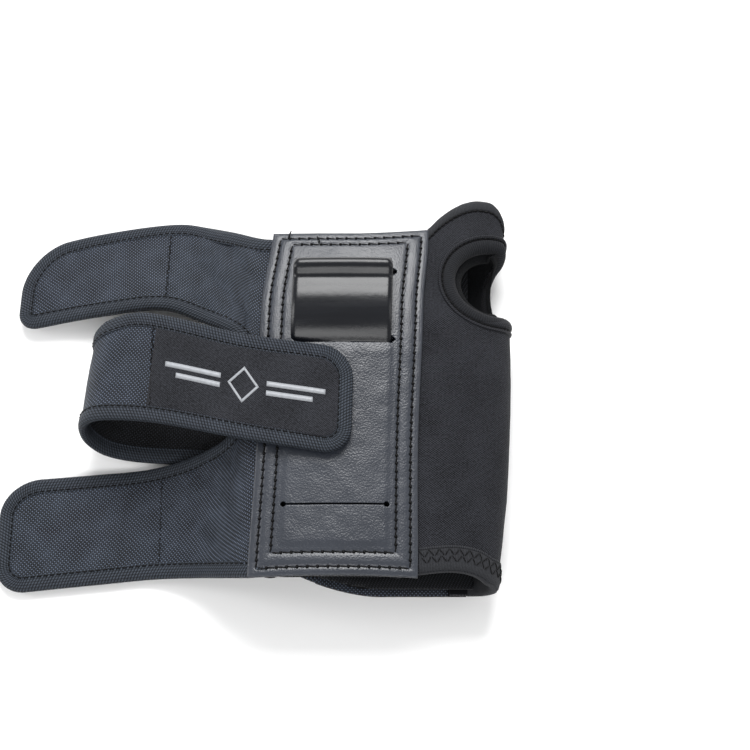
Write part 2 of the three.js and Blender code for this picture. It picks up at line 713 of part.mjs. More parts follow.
// ---- Back panel: loop fastener outside, a splint in a pocket, foam and lining inside ----

// A layer of the back panel. Its finger end is round at the little-finger side.
function backLayer(left, right, margin, z0, thickness, roundness = 26) {
  const [bottom, top] = [BACK_BOTTOM_Y + margin, BACK_TOP_Y - margin];
  const outline = new THREE.Shape();
  outline.moveTo(left, bottom);
  outline.lineTo(right, bottom);
  outline.lineTo(right, top);
  outline.lineTo(left + roundness * 1.3, top);
  outline.absellipse(left + roundness * 1.3, top - roundness, roundness * 1.3, roundness, Math.PI / 2, Math.PI);
  const plate = new THREE.ExtrudeGeometry(outline, { depth: thickness, bevelEnabled: false, curveSegments: 7 });
  return closedBody(plate.translate(0, 0, z0));
}

function addBackPanel() {
  let z = 0;
  add("back_loop_pile", backLayer(BACK_LEFT_X, BACK_RIGHT_X, 0, z, LOOP_PILE), COLOURS.loop, 0.95);
  z += LOOP_PILE + GAP;
  add("back_panel_shell", backLayer(BACK_SHELL_X, BACK_RIGHT_X - 7.5, 0, z, SHELL, 28), COLOURS.nylon);
  z += SHELL + GAP;
  const [left, right] = [38, BACK_RIGHT_X - 8];
  const [bottom, top] = [BACK_BOTTOM_Y, BACK_TOP_Y];
  add("back_splint", roundedPlate(left + 3, right - 3, bottom + 3, top - 10, z, 2, 9), COLOURS.splint, 0.4);
  z += 2 + GAP;
  add("back_foam_pad", backLayer(left, right - 1, 2, z, FOAM, 18), COLOURS.foam);
  z += FOAM + GAP;
  add("back_lining", backLayer(BACK_SHELL_X + 1, BACK_RIGHT_X + 3, 1, z, LINING), COLOURS.lining, 0.95);
}

addBackPanel();
addSleeve();
addPalmSide();
addForkPanel();
addOuterStrap("upper_strap", upperStrap);
addOuterStrap("lower_strap", lowerStrap);
addMiddleStrap();

// The origin stands under the middle of the whole part.
const bounds = new THREE.Box3().setFromObject(guard, true);
const middle = bounds.getCenter(new THREE.Vector3());
guard.children.forEach((mesh) => mesh.geometry.translate(-middle.x, -middle.y, -bounds.min.z));

export default guard;
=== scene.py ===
"""Visual model of a wrist guard, built around its CAD frame.

X runs from the little-finger side to the thumb side, Y from the forearm to the
fingers, and Z up out of the palm. Shapes are worked out in millimetres, and
spot() places them in metres.
"""

import math
from functools import partial
from itertools import accumulate

import bmesh
import bpy
from bpy.props import FloatProperty, FloatVectorProperty
from mathutils import Matrix, Vector, noise


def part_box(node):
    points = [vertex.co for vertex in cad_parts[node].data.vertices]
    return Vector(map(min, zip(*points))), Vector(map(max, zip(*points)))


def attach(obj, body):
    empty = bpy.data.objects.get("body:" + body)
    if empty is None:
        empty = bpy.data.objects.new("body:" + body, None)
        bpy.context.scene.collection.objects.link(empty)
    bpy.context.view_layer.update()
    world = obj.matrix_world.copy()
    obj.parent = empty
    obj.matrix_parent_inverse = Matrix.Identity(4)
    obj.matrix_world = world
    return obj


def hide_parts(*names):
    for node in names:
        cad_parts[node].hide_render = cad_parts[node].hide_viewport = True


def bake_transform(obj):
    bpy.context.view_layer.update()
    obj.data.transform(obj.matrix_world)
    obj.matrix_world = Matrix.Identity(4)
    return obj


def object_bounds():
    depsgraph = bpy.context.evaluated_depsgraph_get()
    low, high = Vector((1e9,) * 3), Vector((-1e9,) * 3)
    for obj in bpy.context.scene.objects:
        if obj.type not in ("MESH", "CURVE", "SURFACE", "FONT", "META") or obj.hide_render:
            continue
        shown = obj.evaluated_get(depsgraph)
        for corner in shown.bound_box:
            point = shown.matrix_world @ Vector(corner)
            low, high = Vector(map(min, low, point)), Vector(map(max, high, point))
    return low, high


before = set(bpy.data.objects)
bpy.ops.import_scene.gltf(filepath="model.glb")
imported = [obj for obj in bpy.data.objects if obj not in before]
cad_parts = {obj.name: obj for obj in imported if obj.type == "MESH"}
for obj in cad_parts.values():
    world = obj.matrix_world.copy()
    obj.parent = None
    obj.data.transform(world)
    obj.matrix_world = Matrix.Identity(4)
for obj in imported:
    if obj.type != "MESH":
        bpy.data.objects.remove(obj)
CAD_BOX = [list(corner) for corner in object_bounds()]

bl_info = {
    "name": "Wrist guard",
    "version": (1, 0, 0),
    "blender": (4, 5, 0),
    "location": "3D View > Sidebar > Wrist guard",
    "description": "Builds a wrist guard piece by piece around its CAD frame",
    "category": "Add Mesh",
}

MM = 0.001
UP = Vector((0, 0, 1))
# The loop pile's lowest corner, which ties these millimetres to the frame.
PILE_CORNER = Vector((26, -86, 0))
SHIFT = Vector(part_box("back_loop_pile")[0]) - PILE_CORNER * MM


def spot(point):
    """A point in the guard's own millimetres as a place in the frame."""
    return Vector(point) * MM + SHIFT


def linear(hex_colour):
    """An sRGB hex colour as linear red, green, blue and alpha."""
    parts = [int(hex_colour[i : i + 2], 16) / 255 for i in (1, 3, 5)]
    return [p / 12.92 if p <= 0.04045 else ((p + 0.055) / 1.055) ** 2.4 for p in parts] + [1.0]


# ---------------------------------------------------------------- settings


def colour(name, description, hex_colour):
    return FloatVectorProperty(
        name=name, description=description, default=linear(hex_colour),
        subtype="COLOR", size=4, min=0, max=1,
    )


def length(name, description, millimetres):
    return FloatProperty(
        name=name, description=description, default=millimetres * MM, min=0,
        subtype="DISTANCE", unit="LENGTH",
    )


class GuardColours(bpy.types.PropertyGroup):
    nylon: colour("Nylon", "Coarse nylon cloth of the straps", "#323842")
    inner: colour("Inner cloth", "Underside of the middle strap", "#16181c")
    tape: colour("Edge tape", "Ribbed tape that binds the straps", "#21252b")
    trim: colour("Trim", "Black tape of the back and the thumb hole", "#17181c")
    edging: colour("Edging", "Ribbed knit edges of the sleeve", "#2a2b2e")
    binding: colour("Binding", "Rolled jersey round the thumb hole", "#1b1c1f")
    leather: colour("Leather", "Coated palm patch", "#272b33")
    plastic: colour("Plate", "Moulded slide plate", "#0c0e13")
    stretch: colour("Stretch cloth", "Knit face of the sleeve", "#222327")
    label: colour("Label", "Smooth knit panel on the middle strap", "#26272b")
    print_ink: colour("Emblem", "Printed emblem", "#8f9297")
    pile: colour("Loop pile", "Brushed loops on the back", "#131416")
    thread: colour("Thread", "Sewing thread and hook tape", "#050506")
    lining: colour("Lining", "Linings and foam", "#0b0c0e")


class GuardSizes(bpy.types.PropertyGroup):
    # Real cloth of this kind has a thread every 0.5 mm, which is too fine to show.
    nylon_pitch: length("Nylon pitch", "Distance between threads of the nylon cloth", 0.8)
    tape_pitch: length("Tape rib", "Distance between ribs of the edge tape", 1.3)
    trim_pitch: length("Trim rib", "Distance between ribs of the black tape", 1.0)
    grain: length("Leather grain", "Width of one cell of the leather's grain", 0.7)
    strap_thread: length("Strap thread", "Thickness of the thread on the straps", 0.5)
    patch_thread: length("Patch thread", "Thickness of the thread on the palm patch", 0.65)
    patch_pitch: length("Patch stitch", "Distance between stitches on the palm patch", 4.1)
    strap_pitch: length("Strap stitch", "Distance between stitches on the straps", 2.7)
    floor_width: FloatProperty(
        name="Floor width", description="Width of the floor", default=24.0, min=1,
        subtype="DISTANCE", unit="LENGTH",
    )


# ---------------------------------------------------------------- lines and frames


def lengths(points):
    """How far along a line each of its points is."""
    return [*accumulate(((b - a).length for a, b in zip(points, points[1:])), initial=0.0)]


def respace(points, count):
    """count points at equal distances along a line of points."""
    run = lengths(points)
    spaced, i = [], 0
    for k in range(count):
        want = run[-1] * k / (count - 1)
        while i < len(run) - 2 and run[i + 1] < want:
            i += 1
        span = run[i + 1] - run[i] or 1.0
        spaced.append(points[i].lerp(points[i + 1], min(max((want - run[i]) / span, 0), 1)))
    return spaced


def smooth_line(knots, count=None, detail=24):
    """A smooth line through knots, as count evenly spaced points or as the raw fine points."""
    knots = [Vector(k) for k in knots]
    padded = [2 * knots[0] - knots[1], *knots, 2 * knots[-1] - knots[-2]]
    fine = []
    for a, b, c, d in zip(padded, padded[1:], padded[2:], padded[3:]):
        t1 = (b - a).length ** 0.5
        t2 = t1 + (c - b).length ** 0.5
        t3 = t2 + (d - c).length ** 0.5
        for i in range(detail):
            t = t1 + (t2 - t1) * i / detail
            ab = a.lerp(b, t / t1)
            bc = b.lerp(c, (t - t1) / (t2 - t1))
            cd = c.lerp(d, (t - t2) / (t3 - t2))
            near, far = ab.lerp(bc, t / t2), bc.lerp(cd, (t - t1) / (t3 - t1))
            fine.append(near.lerp(far, (t - t1) / (t2 - t1)))
    fine.append(knots[-1])
    return respace(fine, count) if count else fine


def step(edge0, edge1, x):
    """0 before edge0, 1 after edge1, and smooth between them."""
    t = min(max((x - edge0) / (edge1 - edge0), 0), 1)
    return t * t * (3 - 2 * t)


def hill(distance, width):
    """1 at distance 0, falling smoothly to 0 at width."""
    return 1 - step(0, width, abs(distance))


def waves(point, scale, seed=0.0):
    """Smooth noise from -1 to 1, with bumps about scale millimetres across."""
    return noise.noise(Vector(point) / scale + Vector((seed, seed, seed)))


class Frame:
    """A place on an edge, with the directions out of the cloth's face and into the cloth."""

    def __init__(self, at, up, inward):
        self.at, self.up, self.inward = at, up, inward

    def reach(self, inward, up):
        return self.at + self.inward * inward + self.up * up


def edge_frames(places, ups, side):
    """Frames along an edge. side is 1 where the cloth lies to the left, seen from the face."""
    frames = []
    last = len(places) - 1
    for i, (at, up) in enumerate(zip(places, ups)):
        run = (places[min(i + 1, last)] - places[max(i - 1, 0)]).normalized()
        frames.append(Frame(at, up, up.cross(run).normalized() * side))
    return frames


def shifted(frames, inward, up):
    """The same frames, each moved inward and up."""
    return [Frame(f.reach(inward, up), f.up, f.inward) for f in frames]


# ---------------------------------------------------------------- meshes


def object_from(shape, name, material, smooth=True):
    """A new object from a bmesh, which is freed."""
    mesh = bpy.data.meshes.new(name)
    shape.to_mesh(mesh)
    shape.free()
    if material:
        mesh.materials.append(material)
    if smooth:
        mesh.shade_smooth()
    piece = bpy.data.objects.new(name, mesh)
    bpy.context.scene.collection.objects.link(piece)
    return piece


def grid_shape(columns, rows, place, unwrap):
    """A bmesh grid with its corners at place(u, v), and unwrap(u, v) in millimetres as its UV map."""
    shape = bmesh.new()
    bmesh.ops.create_grid(shape, x_segments=columns, y_segments=rows, size=0.5)
    layer = shape.loops.layers.uv.new("UVMap")
    flat = {vert: (vert.co.x + 0.5, vert.co.y + 0.5) for vert in shape.verts}
    for face in shape.faces:
        for loop in face.loops:
            loop[layer].uv = unwrap(*flat[loop.vert])
    for vert, (u, v) in flat.items():
        vert.co = place(u, v)
    return shape


def sheet(name, columns, rows, place, unwrap, material, thickness):
    """A sheet of cloth over place(u, v), in millimetres, thickened about its middle."""
    shape = grid_shape(columns, rows, lambda u, v: spot(place(u, v)), unwrap)
    piece = object_from(shape, name, material)
    thicken(piece, thickness)
    return piece


def thicken(piece, thickness, offset=0.0):
    """Gives a sheet its thickness: about its middle, or all below its face where offset is -1."""
    solid = piece.modifiers.new("Thickness", "SOLIDIFY")
    solid.thickness = thickness * MM
    solid.offset = offset
    solid.use_even_offset = False


def close(shape, ends=True):
    """Merges doubled corners, fills the open ends and turns the faces outwards."""
    bmesh.ops.remove_doubles(shape, verts=shape.verts, dist=1e-6)
    if ends:
        rims = [edge for edge in shape.edges if edge.is_boundary]
        bmesh.ops.holes_fill(shape, edges=rims, sides=0)
    bmesh.ops.recalc_face_normals(shape, faces=shape.faces)


def sweep(name, frames, section, material, closed=False, widths=None):
    """A strip with one section, as (inward, up) pairs, carried along frames.

    A closed run joins up with its start. widths are the section's width at each
    frame, as shares of its full width.
    """
    widths = widths or [1.0] * len(frames)
    if closed:
        frames, widths = [*frames, frames[0]], [*widths, widths[0]]
    columns, rows = len(frames) - 1, len(section) - 1
    run = lengths([f.at for f in frames])
    girth = [*accumulate((math.dist(a, b) for a, b in zip(section, section[1:])), initial=0.0)]

    def place(u, v):
        i, (inward, up) = round(u * columns), section[round(v * rows)]
        return spot(frames[i].reach(inward * widths[i], up * (0.4 + 0.6 * widths[i])))

    def unwrap(u, v):
        return run[round(u * columns)], girth[round(v * rows)]

    shape = grid_shape(columns, rows, place, unwrap)
    close(shape, not closed)
    return object_from(shape, name, material)


def walk(frames, distances):
    """Frames at distances along a run of frames."""
    run = lengths([f.at for f in frames])
    walked, i = [], 0
    for want in distances:
        while i < len(run) - 2 and run[i + 1] < want:
            i += 1
        t = min(max((want - run[i]) / ((run[i + 1] - run[i]) or 1.0), 0), 1)
        a, b = frames[i], frames[i + 1]
        walked.append(Frame(a.at.lerp(b.at, t), a.up.lerp(b.up, t), a.inward.lerp(b.inward, t)))
    return walked


# One stitch: how far along it each station is, and how high the thread stands there,
# in thicknesses of the thread.
STITCH = [
    (0.0, -0.75), (0.08, -0.05), (0.28, 0.3), (0.5, 0.36), (0.72, 0.3), (0.92, -0.05), (1.0, -0.75),
]


def stitches(name, frames, pitch, stitch, thread, material, zigzag=0.0, shift=0.0, slant=0.0):
    """A row of stitches: thread that stands on the cloth and dives under it between stitches."""
    total = lengths([f.at for f in frames])[-1]
    count = max(round(total / pitch), 1)
    pitch = total / count
    stitch = min(stitch, pitch * 0.94)
    distances, heights, sways = [], [], []
    for k in range(count - (1 if shift else 0)):
        for share, height in STITCH:
            distances.append((k + shift) * pitch + (pitch - stitch) / 2 + share * stitch)
            heights.append(height * thread)
            sways.append((share - 0.5) * zigzag * (1 if k % 2 else -1) + (share - 0.5) * slant)
    spots = walk(frames, distances)
    path = [
        Frame(f.reach(sway, height), f.up, f.inward)
        for f, height, sway in zip(spots, heights, sways)
    ]
    return sweep(name, path, ring(thread / 2, 6), material)


def ring(radius, sides, inward=0.0, up=0.0):
    """A round section with its middle at inward, up."""
    turns = [math.tau * i / sides for i in range(sides + 1)]
    return [(inward + radius * math.cos(t), up + radius * math.sin(t)) for t in turns]


def finish_mesh(piece):
    """Applies every modifier to the piece's own mesh."""
    bpy.context.view_layer.update()
    solved = piece.evaluated_get(bpy.context.evaluated_depsgraph_get())
    mesh = bpy.data.meshes.new_from_object(solved)
    piece.modifiers.clear()
    piece.data = mesh


# ---------------------------------------------------------------- materials

MATH, NOISE, VORONOI = "ShaderNodeMath", "ShaderNodeTexNoise", "ShaderNodeTexVoronoi"


def add_node(tree, kind, inputs=(), output=0, **settings):
    """Adds a node with its settings and inputs, and gives back one of its outputs.

    inputs is a list in the order of the node's sockets, or a dictionary by socket,
    and holds values and links.
    """
    made = tree.nodes.new(kind)
    for key, value in settings.items():
        setattr(made, key, value)
    for key, value in inputs.items() if isinstance(inputs, dict) else enumerate(inputs):
        if isinstance(value, bpy.types.NodeSocket):
            tree.links.new(value, made.inputs[key])
        else:
            made.inputs[key].default_value = value
    return made.outputs[output]


def start_material(name, slot_colour, roughness, **extra):
    """A Principled material, and the function that adds a node to it."""
    material = bpy.data.materials.new(name)
    material.use_nodes = True
    material.diffuse_color = slot_colour
    tree = material.node_tree
    tree.nodes.clear()
    inputs = {key.replace("_", " "): value for key, value in extra.items()}
    surface = add_node(
        tree,
        "ShaderNodeBsdfPrincipled",
        {"Base Color": slot_colour, "Roughness": roughness, **inputs},
        name="Surface",
    )
    out = tree.nodes.new("ShaderNodeOutputMaterial")
    tree.links.new(surface, out.inputs["Surface"])
    return material, partial(add_node, tree)


def end_material(material, shade, dark, light, height, relief, roughness=None):
    """Gives a material its tone, from dark to light shares of its colour, and its relief.

    relief is in millimetres.
    """
    tree = material.node_tree
    low, high = ([*(c * share for c in material.diffuse_color[:3]), 1] for share in (dark, light))
    tones = {"Factor": shade, 6: low, 7: high}  # 6 and 7 are the Mix node's colour sockets
    links = {
        "Base Color": add_node(tree, "ShaderNodeMix", tones, 2, data_type="RGBA"),
        "Normal": add_node(tree, "ShaderNodeBump", {"Height": height, "Distance": relief * MM}),
    }
    if roughness:
        links["Roughness"] = roughness
    for name, socket in links.items():
        tree.links.new(socket, tree.nodes["Surface"].inputs[name])
    return material


def cloth_axes(add):
    """The piece's UV map, in millimetres, and its two axes."""
    uv = add("ShaderNodeUVMap", uv_map="UVMap")
    return uv, add("ShaderNodeSeparateXYZ", [uv]), add("ShaderNodeSeparateXYZ", [uv], 1)


def ballistic_nylon(name, slot_colour, pitch):
    # Air-textured nylon in a plain weave: each crossing is a small rounded bump. The warp's
    # crossings stand higher and catch the light, and the weft's lie in shade, so the cloth is
    # covered in slanting rows of bright grains. The colour is painted from the same height too:
    # painted highlight on the warp's crossings, painted shade on the weft's, over a random fleck.
    material, add = start_material(name, slot_colour, 0.55, Specular_IOR_Level=0.22)
    uv, along, across = cloth_axes(add)
    turn = math.pi / (pitch / MM)
    drift = add(MATH, [add(NOISE, {"Vector": uv, "Scale": 0.5, "Detail": 2.0}), 0.9], operation="MULTIPLY")
    angles = [add(MATH, [axis, turn, drift], operation="MULTIPLY_ADD") for axis in (along, across)]
    crossing = add(MATH, [add(MATH, [angle], operation="SINE") for angle in angles], operation="MULTIPLY")
    crown = add(MATH, [add(MATH, [crossing], operation="ABSOLUTE"), 0.8], operation="POWER")
    warp = add(MATH, [crossing, 0.0], operation="GREATER_THAN")
    over = add(MATH, [warp, 0.76, 0.24], operation="MULTIPLY_ADD")
    height = add(MATH, [crown, over], operation="MULTIPLY")
    fleck = add(NOISE, {"Vector": uv, "Scale": 0.1, "Detail": 5.0})
    # Painted highlight on the raised crossings and painted shade between them, with a random fleck.
    shade = add(MATH, [fleck, 0.35, height], operation="MULTIPLY_ADD")
    return end_material(material, add(MATH, [shade, 0.24], operation="SUBTRACT"), 0.0, 3.7, height, 0.4)


def ribbed_tape(name, slot_colour, pitch):
    # Woven polyester binding: short cross ribs in three or four lengthwise rows, with dark
    # furrows between them. The dark is painted shade: the colour follows the height, with a
    # painted highlight on the ribs and a random fleck.
    material, add = start_material(name, slot_colour, 0.6, Specular_IOR_Level=0.2)
    uv, along, across = cloth_axes(add)
    turn = math.pi / (pitch / MM)
    row = add(MATH, [across, turn * 1.05], operation="MULTIPLY")
    half_row = add(MATH, [row, 0.5], operation="MULTIPLY")
    stagger = add(MATH, [along, turn, half_row], operation="MULTIPLY_ADD")
    sines = [add(MATH, [angle], operation="SINE") for angle in (stagger, row)]
    rib, furrow = (add(MATH, [sine], operation="ABSOLUTE") for sine in sines)
    shaped = [add(MATH, [wave, power], operation="POWER") for wave, power in ((rib, 0.8), (furrow, 0.45))]
    height = add(MATH, shaped, operation="MULTIPLY")
    fleck = add(NOISE, {"Vector": uv, "Scale": 0.15, "Detail": 4.0})
    # Painted highlight on the ribs and painted shade in the furrows, with a random fleck.
    shade = add(MATH, [fleck, 0.3, height], operation="MULTIPLY_ADD")
    return end_material(material, add(MATH, [shade, 0.2], operation="SUBTRACT"), 0.03, 3.0, height, 0.35)


def coated_leather(name, slot_colour, grain):
    # Polyurethane-coated leather: a fine pebbled grain pressed into a semi-gloss film, a
    # little uneven in tone. The fine crease noise that lowers the face also darkens its colour
    # there: painted shade in the creases.
    material, add = start_material(name, slot_colour, 0.4, Specular_IOR_Level=0.5)
    place = add("ShaderNodeTexCoord", output="Object")
    cells = add(VORONOI, {"Vector": place, "Scale": 1 / grain, "Smoothness": 0.6}, feature="SMOOTH_F1")
    creases = add(NOISE, {"Vector": place, "Scale": 520.0, "Detail": 5.0, "Roughness": 0.6})
    tone = add(NOISE, {"Vector": place, "Scale": 28.0, "Detail": 4.0})
    pebbles = add(MATH, [cells, -0.9], operation="MULTIPLY")
    height = add(MATH, [creases, 0.4, pebbles], operation="MULTIPLY_ADD")
    # Painted shade: the colour is darker where the crease noise lowers the face.
    fine = add(MATH, [creases, 0.3], operation="MULTIPLY")
    shade = add(MATH, [tone, 0.7, fine], operation="MULTIPLY_ADD")
    rough = add(MATH, [tone, 0.16, 0.27], operation="MULTIPLY_ADD")
    return end_material(material, shade, 0.6, 1.4, height, 0.11, rough)


def moulded_nylon_plastic(name, slot_colour):
    # Glass-filled polyamide from a polished mould: glossy, with a faint orange-peel and a
    # few rubbed streaks.
    material, add = start_material(name, slot_colour, 0.3, IOR=1.5, Specular_IOR_Level=0.36)
    place = add("ShaderNodeTexCoord", output="Object")
    streaks = add("ShaderNodeMapping", {"Vector": place, "Scale": (30.0, 260.0, 260.0)})
    rubbed = add(NOISE, {"Vector": streaks, "Scale": 1.0, "Detail": 4.0})
    peel = add(NOISE, {"Vector": place, "Scale": 420.0, "Detail": 3.0})
    rough = add(MATH, [rubbed, 0.2, 0.16], operation="MULTIPLY_ADD")
    return end_material(material, rubbed, 0.8, 1.2, peel, 0.05, rough)


def laminated_knit(name, slot_colour, pitch=0.62):
    # Nylon jersey bonded to foam rubber: matt, with tiny staggered loops and a light fleck.
    # The colour is painted from the loops' height, as painted shade between them, over the
    # fleck and broad patches of uneven tone.
    material, add = start_material(
        name, slot_colour, 0.85, Specular_IOR_Level=0.1, Sheen_Weight=0.04, Sheen_Roughness=0.5
    )
    uv, along, across = cloth_axes(add)
    turn = math.pi / pitch
    scales = ((along, turn), (across, turn * 1.3))
    angles = [add(MATH, [axis, scale], operation="MULTIPLY") for axis, scale in scales]
    loops = add(MATH, [add(MATH, [angle], operation="SINE") for angle in angles], operation="MULTIPLY")
    fleck = add(NOISE, {"Vector": uv, "Scale": 1.1, "Detail": 4.0, "Roughness": 0.75})
    broad = add(NOISE, {"Vector": uv, "Scale": 0.06, "Detail": 3.0})
    height = add(MATH, [loops, 0.25, fleck], operation="MULTIPLY_ADD")
    lifted = add(MATH, [broad, 1.7], operation="SUBTRACT")
    # Painted shade between the loops, over the fleck and broad patches of uneven tone.
    shade = add(MATH, [height, 3.4, lifted], operation="MULTIPLY_ADD")
    return end_material(material, shade, 0.2, 1.8, height, 0.22)


def ribbed_knit(name, slot_colour, pitch):
    # Elastic knitted edging: fine ribs that run over the edge, slightly furry, so the
    # furrows are only a little darker. That darkening is painted shade: the colour follows
    # the ribs' height, over a random fleck.
    material, add = start_material(
        name, slot_colour, 0.85, Specular_IOR_Level=0.1, Sheen_Weight=0.04, Sheen_Roughness=0.5
    )
    uv, along, _ = cloth_axes(add)
    fleck = add(NOISE, {"Vector": uv, "Scale": 1.3, "Detail": 4.0, "Roughness": 0.7})
    drift = add(MATH, [fleck, 2.2], operation="MULTIPLY")
    angle = add(MATH, [along, math.pi / pitch, drift], operation="MULTIPLY_ADD")
    rib = add(MATH, [add(MATH, [angle], operation="SINE")], operation="ABSOLUTE")
    height = add(MATH, [rib, 0.6, fleck], operation="MULTIPLY_ADD")
    # Painted shade in the furrows: the colour follows the ribs' height and a random fleck.
    return end_material(material, add(MATH, [height, 0.3], operation="SUBTRACT"), 0.25, 1.8, height, 0.3)


def brushed_loops(name, slot_colour, scale=900.0, depth=0.6):
    # Nylon loops brushed into a pile, with curled fibres on top. The colour is painted from
    # the height: painted shade, black, between the loops, and lighter on the fibres on top.
    material, add = start_material(
        name, slot_colour, 0.95, Specular_IOR_Level=0.05, Sheen_Weight=0.03, Sheen_Roughness=0.6
    )
    place = add("ShaderNodeTexCoord", output="Object")
    curl = {"Vector": place, "Scale": scale, "Detail": 5.0, "Distortion": 1.6}
    worms = add(VORONOI, {"Vector": add(NOISE, curl, "Color"), "Scale": 7.0}, feature="F1")
    height = add(MATH, [add(NOISE, curl), worms], operation="MULTIPLY")
    # Painted shade between the loops: the colour follows the pile's height.
    return end_material(material, add(MATH, [height, 2.6], operation="MULTIPLY"), 0.25, 1.9, height, depth)


def mesh_lining(name, slot_colour, pitch=1.3):
    # Warp-knitted mesh: black, with a painted highlight where each stitch turns over.
    material, add = start_material(name, slot_colour, 0.7, Specular_IOR_Level=0.1)
    place = add("ShaderNodeTexCoord", output="Object")
    along, across = (add("ShaderNodeSeparateXYZ", [place], i) for i in (0, 1))
    turn = math.tau / (pitch * MM)
    row, wale = (add(MATH, [axis, turn], operation="MULTIPLY") for axis in (across, along))
    stagger = add(MATH, [row, 0.5, wale], operation="MULTIPLY_ADD")
    dots = add(MATH, [add(MATH, [angle], operation="SINE") for angle in (stagger, row)], operation="MULTIPLY")
    height = add(MATH, [add(MATH, [dots, 0.0], operation="MAXIMUM"), 0.8], operation="POWER")
    # Painted highlight where each stitch turns over: the colour follows the stitches' height.
    return end_material(material, height, 0.9, 8.0, height, 0.25)


def plain_finish(name, slot_colour, roughness, grain=300.0, depth=0.05, **extra):
    # Used for thread, print and foam: one tone broken up by a fine grain.
    material, add = start_material(name, slot_colour, roughness, **extra)
    place = add("ShaderNodeTexCoord", output="Object")
    speck = add(NOISE, {"Vector": place, "Scale": grain, "Detail": 4.0})
    return end_material(material, speck, 0.7, 1.3, speck, depth)


MADE = {}


def finish(name):
    """The guard's materials, each made once."""
    if name not in MADE:
        colours, sizes = bpy.context.scene.guard_colours, bpy.context.scene.guard_sizes
        MADE[name] = {
            "nylon": lambda: ballistic_nylon("Ballistic nylon", colours.nylon, sizes.nylon_pitch),
            "inner": lambda: ballistic_nylon("Black nylon backing", colours.inner, sizes.nylon_pitch),
            "tape": lambda: ribbed_tape("Ribbed polyester tape", colours.tape, sizes.tape_pitch),
            "black_tape": lambda: ribbed_tape("Black grosgrain tape", colours.trim, sizes.trim_pitch),
            "leather": lambda: coated_leather("Coated leather", colours.leather, sizes.grain),
            "plastic": lambda: moulded_nylon_plastic("Moulded polyamide", colours.plastic),
            "stretch": lambda: laminated_knit("Laminated jersey", colours.stretch),
            "edging": lambda: ribbed_knit("Ribbed knit edging", colours.edging, 0.9),
            "rolled": lambda: ribbed_knit("Rolled jersey binding", colours.binding, 1.1),
            "label": lambda: laminated_knit("Smooth jersey", colours.label, 0.5),
            "pile": lambda: brushed_loops("Brushed loop pile", colours.pile),
            "hook": lambda: brushed_loops("Hook tape", colours.thread, 1400.0, 0.4),
            "lining": lambda: brushed_loops("Brushed lining", colours.lining, 1600.0, 0.2),
            "mesh": lambda: mesh_lining("Knitted mesh lining", colours.lining),
            "thread": lambda: plain_finish(
                "Polyester thread", colours.thread, 0.5, 2500.0, Specular_IOR_Level=0.15
            ),
            "ink": lambda: plain_finish("Screen print ink", colours.print_ink, 0.45, 900.0, 0.03),
            "foam": lambda: plain_finish(
                "Closed-cell foam", colours.lining, 0.9, 1500.0, 0.15, Specular_IOR_Level=0.1
            ),
            "splint": lambda: moulded_nylon_plastic("Moulded splint", colours.plastic),
        }[name]()
    return MADE[name]


# ---------------------------------------------------------------- the palm side's shape

PALM_CREST, PALM_CROWN, PALM_DROP, PALM_BEND_Y = 36.0, 2.0, 8.0, 8.0
PALM_HALF, PALM_BOTTOM, PALM_TOP = 33.0, -85.5, 65.5
PATCH_WIDTH, PATCH_LENGTH = 2 * PALM_HALF, PALM_TOP - PALM_BOTTOM
LEATHER = 1.2
# How far each row of sewing lies in from the patch's left, right, finger and forearm edges.
PATCH_SEAMS = {"outer": (3.3, 2.9, 2.7, 3.4), "inner": (8.6, 8.6, 5.8, 9.3)}


def palm_centre(y):
    """The X of the patch's middle line."""
    return 36.2 + 0.028 * y


def palm_top(x, y):
    """The height of the patch's face, which arches across and drops towards the fingers."""
    across = (x - palm_centre(y)) / PALM_HALF
    along = max(0.0, y - PALM_BEND_Y) / (PALM_TOP - PALM_BEND_Y)
    return PALM_CREST - PALM_CROWN * across**2 - PALM_DROP * along**2


def patch_point(u, v):
    """A place on the patch, whose sides bow a little and whose finger end is a shallow hollow."""
    side = 2 * u - 1
    low = PALM_BOTTOM + 0.7 * (1 - side**2)
    high = PALM_TOP + 0.3 + 2.4 * max(side, 0) ** 1.6 - 0.6 * (1 - side**2)
    y = low + (high - low) * v
    lean = 2.3 * step(30, 66, y)
    x = palm_centre(y) + side * (PALM_HALF + 0.5 * math.sin(y / 19)) + lean
    return x, y


def patch_relief(u, v):
    """Height that the sewing gives the patch, in millimetres."""
    x, y = patch_point(u, v)
    sides = (u * PATCH_WIDTH, (1 - u) * PATCH_WIDTH, (1 - v) * PATCH_LENGTH, v * PATCH_LENGTH)
    edge = min(sides)
    outer = min(side - inset for side, inset in zip(sides, PATCH_SEAMS["outer"]))
    left, right, high, low = (side - inset for side, inset in zip(sides, PATCH_SEAMS["inner"]))
    inner = min(left, right, high * 1.2, low)
    relief = -0.4 * hill(outer, 1.0) - 0.4 * hill(inner, 1.0)
    between = min(max(outer / 2.6, 0), 1) * min(max(-inner / 2.6, 0), 1)
    relief += 0.22 * step(0, 1, between)
    relief += 0.25 * step(0, 2.5, edge) - 0.25
    inside = step(0, 5, inner)
    leg = step(22.5, 19.5, abs(x - palm_centre(y))) * step(-74.5, -71, y) * step(17, 8, y)
    relief += inside * (0.05 + 0.4 * leg)
    relief += 0.16 * waves((x, y, 0), 17, 3) * inside + 0.12 * waves((x, y, 0), 6, 8)
    return relief


# ---------------------------------------------------------------- straps

